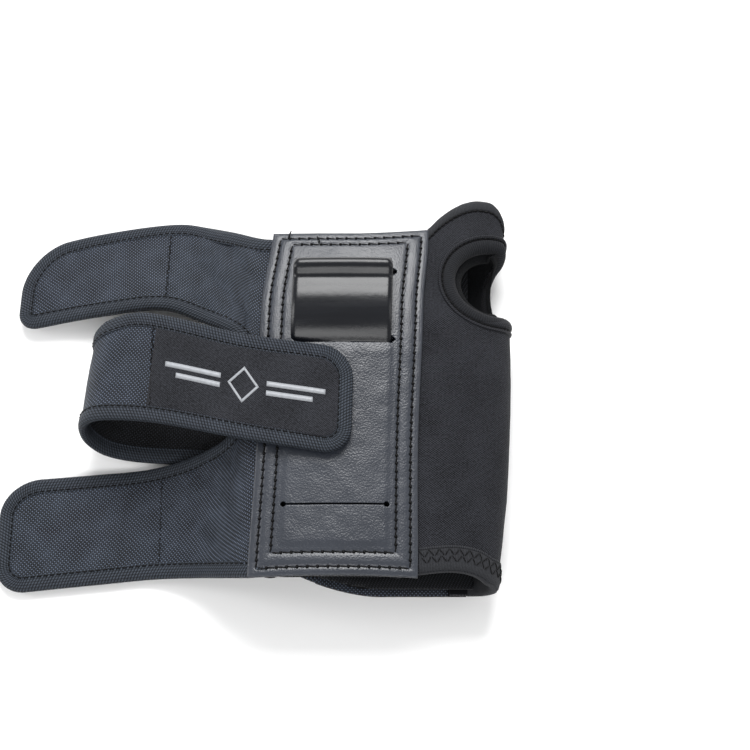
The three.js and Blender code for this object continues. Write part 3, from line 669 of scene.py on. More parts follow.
WEB = 2.2  # thickness of the webbing
STATION = 1.6  # distance between the rows of a strap's mesh
SEAM_INSET, SEAM_LIFT = 5.55, 1.66  # where the sewing lies in the edge tape's furrow
HOOK_INSET, LABEL_INSET = 7.6, 5.7
TAPE_FACE = [
    (6.4, 0.9), (6.4, 1.45), (6.25, 1.66), (5.95, 1.72), (5.55, 1.5), (5.1, 1.74),
    (3.4, 1.98), (2.2, 1.98), (1.2, 1.75), (0.4, 1.25), (0.0, 0.5),
]
TAPE_SECTION = [*TAPE_FACE, *[(inward, -up) for inward, up in reversed(TAPE_FACE)], TAPE_FACE[0]]


def creasing(at):
    """Slanting creases where the outer straps come out from under the patch."""
    span = step(-34, -20, at.x) * step(4, -2, at.x)
    slant = at.x * 0.75 + at.y * 0.5 + 2.5 * waves(at, 22, 11)
    return span * (abs(math.sin(slant / 3.6)) ** 0.7 - 0.6)


class Strap:
    """A strap between two long edges, with round corners at its tip."""

    def __init__(self, far, near, far_radius, near_radius, flip=1, count=260):
        self.far = smooth_line(far, count)
        self.near = smooth_line(near, count)
        self.count, self.flip = count, flip
        self.far_radius, self.near_radius = far_radius, near_radius
        self.length = lengths([a.lerp(b, 0.5) for a, b in zip(self.far, self.near)])[-1]

    def point(self, share, v):
        """A place on the strap: share of its length, and v from its near edge to its far one."""
        where = min(max(share, 0), 1) * (self.count - 1)
        i = min(int(where), self.count - 2)
        t = where - i
        return self.near[i].lerp(self.near[i + 1], t).lerp(self.far[i].lerp(self.far[i + 1], t), v)

    def normal(self, share, v):
        along = self.point(min(share + 0.012, 1), v) - self.point(max(share - 0.012, 0), v)
        across = self.point(share, 1) - self.point(share, 0)
        return across.cross(along).normalized() * self.flip

    def width(self, share):
        return (self.point(share, 1) - self.point(share, 0)).length

    def corner(self, share, radius, inset):
        """How far an edge has come in, as a share of the width."""
        r = max(radius - inset, 0.5)
        left = min(max((1 - share) * self.length - inset, 0) / r, 1)
        return (inset + r * (1 - math.sqrt(1 - (1 - left) ** 2))) / self.width(share)

    def span(self, share, inset):
        """Where the cloth starts and ends across the strap, inset from its outline."""
        return self.corner(share, self.near_radius, inset), 1 - self.corner(share, self.far_radius, inset)

    def flat(self, inset, start=0.0):
        """Width and length of a piece of cloth cut inset from the outline, in metres."""
        width = self.width((start + 1) / 2) - 2 * inset
        return width * MM, ((1 - start) * self.length - inset) * MM

    def stations(self, inset, start=0.0):
        """Shares of the length from start to the tip, closer together round its corners."""
        radius = max(self.far_radius, self.near_radius)
        tip = 1 - inset / self.length
        bend = 1 - radius / self.length
        straight = max(int((bend - start) * self.length / STATION), 2)
        shares = [start + (bend - start) * i / straight for i in range(straight)]
        turns = 22
        for i in range(turns + 1):
            shares.append(bend + (tip - bend) * math.sin(i / turns * math.pi / 2))
        return shares

    def place(self, share, v, lift=0.0):
        return self.point(share, v) + self.normal(share, v) * lift

    def share_at(self, x, v, low=0.0, high=1.0):
        """The share of the length at which the strap reaches x."""
        rising = self.point(high, v).x > self.point(low, v).x
        for _ in range(30):
            middle = (low + high) / 2
            low, high = (middle, high) if (self.point(middle, v).x < x) == rising else (low, middle)
        return low

    def seam_line(self, x, lift, low=0.0):
        """A straight seam across the strap at x, as frames."""
        inset, steps = 6.7, 60
        middle = self.share_at(x, 0.5, low)
        near, far = self.span(middle, inset)
        places, ups = [], []
        for i in range(steps + 1):
            v = near + (far - near) * i / steps
            share = self.share_at(x, v, low)
            places.append(self.place(share, v, lift))
            ups.append(self.normal(share, v))
        return edge_frames(places, ups, 1)

    def outline(self):
        """Frames round the outer edge: the far side, the tip, and back along the near side."""
        shares = self.stations(0)
        spots = [(s, self.span(s, 0)[1]) for s in shares]
        tip_low, tip_high = self.span(1, 0)
        steps = max(int((tip_high - tip_low) * self.width(1) / STATION), 2)
        spots += [(1, tip_high + (tip_low - tip_high) * i / steps) for i in range(1, steps)]
        spots += [(s, self.span(s, 0)[0]) for s in reversed(shares)]
        places = [self.point(s, v) for s, v in spots]
        return edge_frames(places, [self.normal(s, v) for s, v in spots], self.flip)

    def cloth(
        self, name, material, inset, thickness, lift=0.0, start=0.0, rows=26,
        puff=0.0, seed=0.0, creases=0.0,
    ):
        """The strap's cloth, cut inset from its outline."""
        shares = self.stations(inset, start)
        last = len(shares) - 1

        def place(u, v):
            share = shares[round(u * last)]
            low, high = self.span(share, inset)
            across = low + (high - low) * v
            rise = puff * (1 - (2 * v - 1) ** 4) * min((1 - u) * 12, 1)
            at = self.point(share, across)
            rise += 0.22 * waves(at, 15, seed) + 0.1 * waves(at, 5, seed)
            rise += creases * creasing(at)
            return at + self.normal(share, across) * (lift + rise)

        def unwrap(u, v):
            share = shares[round(u * last)]
            low, high = self.span(share, inset)
            return share * self.length, (low + (high - low) * v - 0.5) * self.width(share)

        return sheet(name, last, rows, place, unwrap, material, thickness)


HINGE_X = -23.0  # where the outer straps bend
FORK_ROOT_X = 3.0  # where the fork panel comes out from under the patch


def hinge_height(y):
    """The height of the fork panel's cloth at the hinge."""
    near_y, near_z, far_y, far_z = 31, 18.5, 77.5, 6.6
    if y >= near_y:
        return near_z + (far_z - near_z) * (y - near_y) / (far_y - near_y)
    if y <= -29:
        return 10 + 3 * (y + 80) / 51
    return 13 + 5.5 * (y + 29) / 60


def fork_height(x, y):
    """The height of the fork panel's cloth, which falls from under the patch to the hinge."""
    under = palm_top(max(x, FORK_ROOT_X), y) - LEATHER - 1.1
    if x >= FORK_ROOT_X:
        return under
    share = (FORK_ROOT_X - x) / (FORK_ROOT_X - HINGE_X)
    return under + (hinge_height(y) - under) * share**1.25


def fork_knots(points):
    return [(x, y, fork_height(x, y)) for x, y in points]


def upper_strap():
    far = fork_knots([(10, 63.2), (3, 64.3), (-10, 70.8)]) + [
        (HINGE_X, 77.4, 6.6),
        (-35, 80, 3.8),
        (-70, 75.5, 3),
        (-102, 67, 3),
    ]
    near = fork_knots([(8, -0.5), (0, -0.5), (-3, 4), (-3.7, 10.5), (-8.2, 18.6)]) + [
        (HINGE_X, 28.6, 18.5),
        (-39, 35.5, 15),
        (-67, 34.5, 10),
        (-103, 29.5, 4.5),
    ]
    return Strap(far, near, 20, 8.5)


def lower_strap():
    far = fork_knots([(8, 0.5), (0, 0.5), (-3.6, -6), (-4.4, -14.5), (-8.6, -23.8)]) + [
        (HINGE_X, -29, 13),
        (-43, -32, 3.5),
        (-65, -34.2, 2.9),
        (-105, -37.5, 2.9),
    ]
    near = fork_knots([(10, -84.3), (3, -85), (-10, -83)]) + [
        (HINGE_X, -80, 10),
        (-40, -79, 3.4),
        (-62, -81, 2.9),
        (-105.5, -85.5, 2.9),
    ]
    return Strap(far, near, 15, 13)


def middle_strap():
    far = [
        (33, 10.5, 5.2), (8, 12.8, 5), (-20, 15.1, 3.6), (-50, 17.5, 3.6), (-59.5, 19.5, 6),
        (-64.6, 21.5, 12), (-65.6, 22.5, 19), (-64, 23.2, 24), (-59.5, 25, 29),
        (-47, 27, 32.6), (-1, 15, 38.1), (28, 10.5, 39), (42, 8.4, 38.8),
    ]
    near = [
        (33, -35, 5.2), (8, -32.8, 5), (-20, -30.4, 3.6), (-52, -28.3, 3.6), (-63.5, -26, 6),
        (-69.4, -23, 12), (-70.4, -20.5, 19), (-68.8, -19.5, 24), (-63.5, -19, 29),
        (-43, -20.5, 32.6), (-1, -30, 38.1), (28, -35.2, 39), (41, -37.2, 38.8),
    ]
    return Strap(far, near, 13, 12, -1, 420)


# ---------------------------------------------------------------- operators


class GUARD_OT_stage(bpy.types.Operator):
    """Lay the floor, hang the studio lights and set up the camera"""

    bl_idname = "guard.stage"
    bl_label = "Stage"

    def execute(self, context):
        half = context.scene.guard_sizes.floor_width / 2
        shape = bmesh.new()
        bmesh.ops.create_grid(shape, x_segments=1, y_segments=1, size=half)
        floor_finish, _ = start_material("White paper", linear("#fbfbfb"), 0.9)
        floor = object_from(shape, "floor", floor_finish, smooth=False)
        gap = 0.4 * MM  # keeps the floor just clear of the guard
        floor.data.transform(Matrix.Translation((0, 0, CAD_BOX[0][2] - gap)))

        context.scene.view_settings.view_transform = "Standard"
        world = bpy.data.worlds.new("Studio")
        world.use_nodes = True
        background = world.node_tree.nodes["Background"].inputs
        background["Color"].default_value = linear("#ffffff")
        background["Strength"].default_value = 0.5
        context.scene.world = world

        # Each lamp's name, its place and size in metres, and its power in watts.
        lamps = (
            ("key_light", (0.05, 1.15, 1.25), (1.0, 0.9), 36.0),
            ("front_light", (0.0, -1.0, 1.25), (1.6, 0.45), 12.0),
            ("left_light", (-1.4, 0.2, 0.6), (0.4, 1.0), 8.0),
            ("right_light", (1.4, 0.2, 0.6), (0.4, 1.0), 2.0),
        )
        for name, place, size, power in lamps:
            lamp = bpy.data.lights.new(name, "AREA")
            lamp.shape, lamp.size, lamp.size_y, lamp.energy = "RECTANGLE", *size, power
            holder = bpy.data.objects.new(name, lamp)
            holder.location = place
            aim = Vector((0, 0, 0.02)) - Vector(place)
            holder.rotation_euler = aim.to_track_quat("-Z", "Y").to_euler()
            context.scene.collection.objects.link(holder)

        tilt, distance = math.radians(70), 750 * MM
        target = spot((50.6, 6.0, 15.0))
        camera = bpy.data.cameras.new("camera")
        camera.sensor_width, camera.lens = 36.0, 85.7
        camera.clip_start, camera.clip_end = 0.01, 20
        eye = bpy.data.objects.new("camera", camera)
        eye.location = target + Vector((0, -math.cos(tilt), math.sin(tilt))) * distance
        eye.rotation_euler = (math.pi / 2 - tilt, 0, 0)
        context.scene.collection.objects.link(eye)
        context.scene.camera = eye
        return {"FINISHED"}


def ride_all(pieces, body):
    for piece in pieces:
        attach(piece, body)


def slit_cutter(y, width, reach, hole, shift=0.0):
    """A tall slot with a round hole at each end, to cut out of the patch."""
    shape = bmesh.new()
    x = palm_centre(y) + shift
    middle, depth = 34, 20  # high and deep enough to pass through both faces of the patch
    slot = Matrix.Diagonal((2 * reach * MM, width * MM, depth * MM, 1))
    bmesh.ops.create_cube(shape, size=1, matrix=Matrix.Translation(spot((x, y, middle))) @ slot)
    cutter = object_from(shape, "slit", None, smooth=False)
    holes = []
    for side in (-1, 1):
        shape = bmesh.new()
        bmesh.ops.create_cone(
            shape,
            cap_ends=True,
            segments=20,
            radius1=hole * MM,
            radius2=hole * MM,
            depth=depth * MM,
            matrix=Matrix.Translation(spot((x + side * reach, y, middle))),
        )
        holes.append(object_from(shape, "slit_hole", None, smooth=False))
    return [cutter, *holes]


class GUARD_OT_palm_patch(bpy.types.Operator):
    """Make the coated leather patch, its slits and its two rows of stitching"""

    bl_idname = "guard.palm_patch"
    bl_label = "Palm patch"

    def execute(self, context):
        sizes = context.scene.guard_sizes

        def place(u, v):
            x, y = patch_point(u, v)
            return x, y, palm_top(x, y) - LEATHER / 2 + patch_relief(u, v)

        patch = sheet("palm_patch_leather", 96, 220, place, patch_point, finish("leather"), LEATHER)
        cutters = [
            *slit_cutter(46.0, 3.0, 19.9, 1.1, 1.3),
            *slit_cutter(14.5, 3.4, 19.9, 1.1, 1.3),
            *slit_cutter(-56.0, 0.8, 20.6, 1.15),
        ]
        for cutter in cutters:
            hole = patch.modifiers.new("Slit", "BOOLEAN")
            hole.operation, hole.object, hole.solver = "DIFFERENCE", cutter, "EXACT"
        finish_mesh(patch)
        for cutter in cutters:
            bpy.data.objects.remove(cutter)
        patch.data.shade_smooth()
        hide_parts("palm_patch")

        seams, black = [], finish("thread")
        thread, steps = sizes.patch_thread / MM, 120
        for name, (left, right, high, low) in PATCH_SEAMS.items():
            left, right = left / PATCH_WIDTH, 1 - right / PATCH_WIDTH
            low, high = low / PATCH_LENGTH, 1 - high / PATCH_LENGTH
            corners = [(left, low), (left, high), (right, high), (right, low)]
            for side, (a, b) in enumerate(zip(corners, corners[1:] + corners[:1])):
                places = []
                for i in range(steps + 1):
                    u, v = (p + (q - p) * i / steps for p, q in zip(a, b))
                    places.append(Vector(place(u, v)) + Vector((0, 0, LEATHER / 2)))
                frames = edge_frames(places, [UP] * len(places), -1)
                pitch = sizes.patch_pitch / MM * (1 if side % 2 else 0.82)
                end = f"{name}_{side}"
                # Black lumps at the needle holes: the thread that runs down through them, and painted shade
                # in the holes.
                holes = shifted(frames, 0, -0.12)
                seams += [
                    stitches("palm_seam_" + end, frames, pitch, pitch * 0.84, thread, black, slant=0.5),
                    stitches("palm_hole_thread_and_shade_" + end, holes, pitch, 1.4, 1.35, black, shift=0.5),
                ]
        ride_all([patch, *seams, *self.loose_ends(place)], "palm_half")
        return {"FINISHED"}

    def loose_ends(self, place):
        """Cut thread ends where the two rows begin."""
        ends = []
        starts = ((0.1, 0.983, (1.1, 3.2, 1.0)), (0.3, 0.965, (-0.7, 2.8, 1.2)))
        for k, (u, v, reach) in enumerate(starts):
            root = Vector(place(u, v)) + Vector((0, 0, LEATHER / 2 - 0.2))
            knots = [root, root + Vector((0.2, 0.9, 1.0)), root + Vector(reach)]
            line = smooth_line(knots, 10)
            frames = edge_frames(line, [UP] * len(line), 1)
            ends.append(sweep(f"palm_thread_end_{k}", frames, ring(0.3, 6), finish("thread")))
        return ends


# The plate's middle line, from its finger end: Y, and height over the patch's face.
PLATE_LINE = [
    (57, -2.5), (52, -2.5), (48.6, -2.2), (46.6, -1.2), (46.0, 1.0), (46.9, 4.2), (48.0, 7.0), (47.8, 8.7),
    (46.4, 9.5), (44.6, 9.1), (43.0, 7.9), (41.6, 6.8), (40.0, 6.2), (37, 6.3), (31, 6.2), (25, 5.0),
    (19.5, 2.9), (15.6, 0.6), (13.4, -1.0), (11.4, -2.1), (8, -2.5), (-20, -2.5), (-72, -2.5),
]
PLATE_HALF, PLATE_LENGTH, PLATE_ROWS = 20.0, 170, 189


class GUARD_OT_palm_plate(bpy.types.Operator):
    """Make the slide plate, which stands out of the patch in a lip and a long arch"""

    bl_idname = "guard.palm_plate"
    bl_label = "Palm plate"

    def execute(self, context):
        line = respace(smooth_line([(0, *knot) for knot in PLATE_LINE], None, 8), PLATE_ROWS + 1)
        columns = 40

        def place(u, v):
            p = line[round(v * PLATE_ROWS)]
            from_end = min(v, 1 - v) * PLATE_LENGTH
            narrow = 4.0 * (1 - math.sqrt(max(0, 1 - (1 - min(from_end / 4, 1)) ** 2)))
            rim = 0.5 * hill((p - Vector((0, 47.2, 9.3))).length, 2.5)
            side = math.sin((u - 0.5) * math.pi)
            reach = (PLATE_HALF - narrow - rim) * side
            x = palm_centre(p.y) + reach
            dish = -0.25 * (1 - side**2) * step(15, 25, p.y) * step(42, 36, p.y)
            rolled = -0.9 * max(0.0, (abs(side) - 0.93) / 0.07) ** 2
            return x, p.y, palm_top(x, p.y) + p.z + dish + rolled

        def unwrap(u, v):
            return u * 2 * PLATE_HALF, v * PLATE_LENGTH

        plate = sheet(
            "palm_plate_moulding", columns, PLATE_ROWS, place, unwrap, finish("plastic"), 1.8
        )
        edge = plate.modifiers.new("Edges", "BEVEL")
        edge.width, edge.segments, edge.limit_method = 0.7 * MM, 3, "ANGLE"
        edge.angle_limit = math.radians(50)
        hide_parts("palm_plate")
        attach(plate, "palm_half")
        return {"FINISHED"}


def bind(name, strap, sizes):
    """A strap's edge tape and the sewing in its furrow."""
    frames = strap.outline()
    binding = sweep(f"{name}_binding", frames, TAPE_SECTION, finish("tape"))
    row = shifted(frames, SEAM_INSET, SEAM_LIFT)
    thread, pitch = sizes.strap_thread / MM, sizes.strap_pitch / MM
    return binding, stitches(f"{name}_sewing", row, pitch, pitch * 0.72, thread, finish("thread"))


def make_outer_strap(name, strap, sizes, seed, seam_x):
    """One arm of the fork panel and its strap in one cloth, with edge tape and stitching."""
    cloth = strap.cloth(
        f"{name}_cloth", finish("nylon"), 1.0, WEB, rows=44, puff=0.35, seed=seed, creases=1.1
    )
    binding, sewing = bind(name, strap, sizes)
    line = strap.seam_line(seam_x, WEB / 2 + 0.3)
    thread = sizes.strap_thread / MM
    seam = stitches(f"{name}_cross_seam", line, 2.2, 1.9, thread, finish("thread"), zigzag=0.7)
    seam_share = strap.share_at(seam_x, 0.5)
    hook = strap.cloth(f"{name}_hook", finish("hook"), HOOK_INSET, 0.8, -WEB / 2 - 0.55, seam_share, 16)
    strap.flat(HOOK_INSET, seam_share)
    return [cloth, binding, sewing, seam], hook


class GUARD_OT_outer_straps(bpy.types.Operator):
    """Make the two outer straps, each in one length with its arm of the fork panel"""

    bl_idname = "guard.outer_straps"
    bl_label = "Outer straps"

    def execute(self, context):
        sizes = context.scene.guard_sizes
        for name, strap, nodes, seam_x, seed in (
            ("upper_strap", upper_strap(), ("upper_strap_web", "fork_far_tape"), -38.5, 1.0),
            ("lower_strap", lower_strap(), ("lower_strap_web", "fork_near_tape"), -37.5, 5.0),
        ):
            pieces, hook = make_outer_strap(name, strap, sizes, seed, seam_x)
            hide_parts(nodes[0], "fork_panel")
            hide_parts(f"{name}_edge_tape", nodes[1], "fork_gap_tape")
            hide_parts(f"{name}_hook_patch")
            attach(hook, name)
            hinge = spot((HINGE_X, 0, 0))
            for piece in pieces:
                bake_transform(piece)
        return {"FINISHED"}


LABEL_X = -40.6  # where the label's seam crosses the middle strap
PAST_FOLD = 0.5  # share of the middle strap's length past which it lies on top
HOOK_START = 0.6  # share of that length at which its hook patch starts


class GUARD_OT_middle_strap(bpy.types.Operator):
    """Make the middle strap with its label panel, emblem, tape and hook patch"""

    bl_idname = "guard.middle_strap"
    bl_label = "Middle strap"

    def execute(self, context):
        sizes = context.scene.guard_sizes
        strap = middle_strap()
        thread = sizes.strap_thread / MM
        cloth = strap.cloth("middle_strap_cloth", finish("nylon"), 1.0, WEB, puff=0.2, seed=9)
        cloth.data.materials.append(finish("inner"))
        cloth.modifiers["Thickness"].material_offset = 1
        binding, sewing = bind("middle_strap", strap, sizes)
        start = strap.share_at(LABEL_X, 0.5, PAST_FOLD)
        label = strap.cloth(
            "middle_strap_label_panel", finish("label"), LABEL_INSET, 0.5, WEB / 2 + 0.15, start, 24,
            puff=0.4, seed=12,
        )
        strap.flat(LABEL_INSET, start)
        hook = strap.cloth(
            "middle_strap_hook", finish("hook"), HOOK_INSET, 0.8, -WEB / 2 - 0.45, HOOK_START, 16
        )
        strap.flat(HOOK_INSET, HOOK_START)
        line = strap.seam_line(LABEL_X, WEB / 2 + 0.55, low=PAST_FOLD)
        seam = stitches("middle_strap_label_seam", line, 2.0, 1.8, thread, finish("thread"), zigzag=0.9)
        emblem = self.emblem(strap)
        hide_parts("middle_strap_base_web", "middle_strap_end_web")
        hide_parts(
            "middle_strap_end_edge_tape", "middle_strap_base_far_tape", "middle_strap_base_near_tape",
        )
        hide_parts("middle_strap_label")
        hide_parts("middle_strap_hook_patch")
        ride_all([label, hook, seam, *emblem], "middle_strap_end")
        start, end = spot((-70, 0, 12)), spot((-70, 0, 27))
        for piece in (cloth, binding, sewing):
            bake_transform(piece)
            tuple(start)
            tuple(end)
        return {"FINISHED"}

    def emblem(self, strap):
        """A plain rhombus in outline between two pairs of bars, printed on the label."""
        pieces = []
        middle_share = strap.share_at(-2.6, 0.5, PAST_FOLD)
        lift = WEB / 2 + 0.15 + 0.4 + 0.34

        def bar(name, corners, columns):
            a, b, c, d = (Vector(p) for p in corners)

            def place(u, v):
                along, across = a.lerp(b, u).lerp(d.lerp(c, u), v)
                share = middle_share + along / strap.length
                return strap.place(share, 0.5 + across / strap.width(share), lift)

            pieces.append(sheet(name, columns, 1, place, lambda u, v: (u, v), finish("ink"), 0.06))

        tip, wide, thick = 7.8, 6.6, 0.85
        points = [(-wide, 0), (0, tip), (wide, 0), (0, -tip)]
        in_x, in_y = wide - 1.5 * thick, tip - 1.8 * thick
        inner = [(-in_x, 0), (0, in_y), (in_x, 0), (0, -in_y)]
        for i in range(4):
            j = (i + 1) % 4
            bar(f"emblem_rhombus_{i}", (points[i], points[j], inner[j], inner[i]), 10)
        for side in (-1, 1):
            for k, (across, reach) in enumerate(((2.0, 24), (-2.0, 19))):
                start, end = side * 9.6, side * (9.6 + reach)
                low, high = across - 1.1, across + 1.1
                corners = ((start, low), (end, low), (end, high), (start, high))
                bar(f"emblem_bar_{'left' if side < 0 else 'right'}_{k}", corners, 24)
        return pieces


# ---------------------------------------------------------------- the sleeve's shape

NEOPRENE, FOLD_Z, ROUNDNESS = 2.9, 17.0, 2.4
BACK_LEFT, BACK_RIGHT, BACK_BOTTOM, BACK_TOP = 26.0, 88.0, -86.0, 71.0
BACK_RISE = 8.0  # how far the back's forearm edge curves up at the little-finger side
CORNER_STRETCH = 1.3  # how much wider than high the back's round corner is
UNDER, TUCK = 7.0, 1.5  # how far the sleeve runs in under its neighbours, and how deep
# The thumb hole on each side: its middle and its two radii.
THUMB_PALM, THUMB_BACK = ((101.0, 44.0), (22.0, 21.0)), ((111.0, 43.0), (13.5, 18.0))


def lookup(pairs, value):
    """The second number that goes with value in rising pairs."""
    low, high = 0, len(pairs) - 1
    while high - low > 1:
        middle = (low + high) // 2
        if pairs[middle][0] <= value:
            low = middle
        else:
            high = middle
    (a, x), (b, y) = pairs[low], pairs[high]
    return x + (y - x) * min(max((value - a) / (b - a), 0), 1)


def fold_x(y):
    """The X of the sleeve's thumb-side fold."""
    return 107.8 - 8 * ((y - 20) / 107) ** 2


def sleeve_point(t, y):
    """The sleeve's outer face.

    t runs from -1 under the patch, through 0 at the fold, to 1 under the loop pile.
    """
    palm, u = t <= 0, 1 - abs(t)
    start_x = palm_centre(y) + PALM_HALF if palm else BACK_RIGHT
    start_z = palm_top(start_x, y) - TUCK if palm else TUCK
    flat = 0.12 if palm else 0.14
    if u < flat:
        x = start_x - UNDER * (1 - u / flat)
        return Vector((x, y, palm_top(x, y) - TUCK if palm else TUCK))
    angle = (u - flat) / (1 - flat) * math.pi / 2
    across = math.sin(angle) ** (2 / ROUNDNESS)
    rise = max(math.cos(angle), 0) ** (2 / ROUNDNESS)
    return Vector((start_x + (fold_x(y) - start_x) * across, y, FOLD_Z + (start_z - FOLD_Z) * rise))


# The finger end of the sleeve's palm side: how far round from the patch to the fold, and its Y.
HUMP_KNOTS = [
    (0, 66, 0), (0.1, 66.6, 0), (0.14, 69.5, 0), (0.21, 75.8, 0), (0.32, 81.6, 0),
    (0.42, 84.2, 0), (0.52, 85.1, 0), (0.64, 84.6, 0), (0.8, 81.9, 0), (1, 75.4, 0),
]
HUMP = [(p.x, p.y) for p in smooth_line(HUMP_KNOTS)]


def hump(u):
    return lookup(HUMP, u)


def sleeve_ends(t):
    """The Y of the forearm end and of the finger end, which rises in a hump over the thumb."""
    u = 1 - abs(t)
    if t <= 0:
        return -85 + 3 * math.sin(math.pi * min(u / 0.7, 1)) - 2 * u**3, hump(u)
    return -85.5 - 1.5 * u**2, 66 + (hump(1) - 66) * u**2


def sleeve_girth():
    """Pairs of distance from the fold and t, along the middle of the sleeve."""
    count = 1600
    turns = [-1 + 2 * i / count for i in range(count + 1)]
    run = lengths([sleeve_point(t, 0) for t in turns])
    fold = run[count // 2]
    return [(r - fold, t) for r, t in zip(run, turns)]


GIRTH = sleeve_girth()
GIRTH_LOW, GIRTH_HIGH = GIRTH[0][0], GIRTH[-1][0]


def turn_at(distance):
    return lookup(GIRTH, distance)


def distance_at(turn):
    return lookup([(t, r) for r, t in GIRTH], turn)


def sleeve_normal(distance, y):
    """The direction out of the sleeve's face."""
    a, b = turn_at(max(distance - 0.6, GIRTH_LOW)), turn_at(min(distance + 0.6, GIRTH_HIGH))
    return (sleeve_point(b, y) - sleeve_point(a, y)).cross(Vector((0, 1, 0))).normalized()


def sleeve_swell(distance, y):
    """Soft unevenness of the foam rubber."""
    return 0.35 * waves((distance, y, 0), 30, 2) + 0.12 * waves((distance, y, 0), 9, 4) - 0.2


def sleeve_skin(distance, y, lift=0.0):
    """A place at lift off the sleeve's face, with the face's unevenness."""
    rise = lift + sleeve_swell(distance, y)
    return sleeve_point(turn_at(distance), y) + sleeve_normal(distance, y) * rise


def thumb_outline():
    """The thumb hole's edge, as (distance from the fold, Y), turning anticlockwise."""
    knots = []
    for (centre, radii), palm, turns in (
        (THUMB_PALM, True, range(78, 283, 17)),
        (THUMB_BACK, False, range(248, 111, -17)),
    ):
        for degrees in turns:
            x = centre[0] + radii[0] * math.cos(math.radians(degrees))
            y = centre[1] + radii[1] * math.sin(math.radians(degrees))
            low, high = (-1.0, 0.0) if palm else (1.0, 0.0)
            for _ in range(30):
                middle = (low + high) / 2
                low, high = (middle, high) if sleeve_point(middle, y).x < x else (low, middle)
            knots.append(Vector((distance_at(low), y, 0)))
    # Three knots of overlap make the join smooth. The line is used from its second knot on.
    detail = 12
    line = smooth_line(knots + knots[:3], None, detail)
    loop = line[detail : len(line) - 1 - detail]
    return respace([*loop, loop[0]], 181)[:-1]


def inside(point, outline):
    """Whether a line from the point crosses the outline an odd number of times."""
    odd = False
    for a, b in zip(outline, outline[1:] + outline[:1]):
        if (a.y > point.y) != (b.y > point.y):
            if point.x < (b.x - a.x) * (point.y - a.y) / (b.y - a.y) + a.x:
                odd = not odd
    return odd


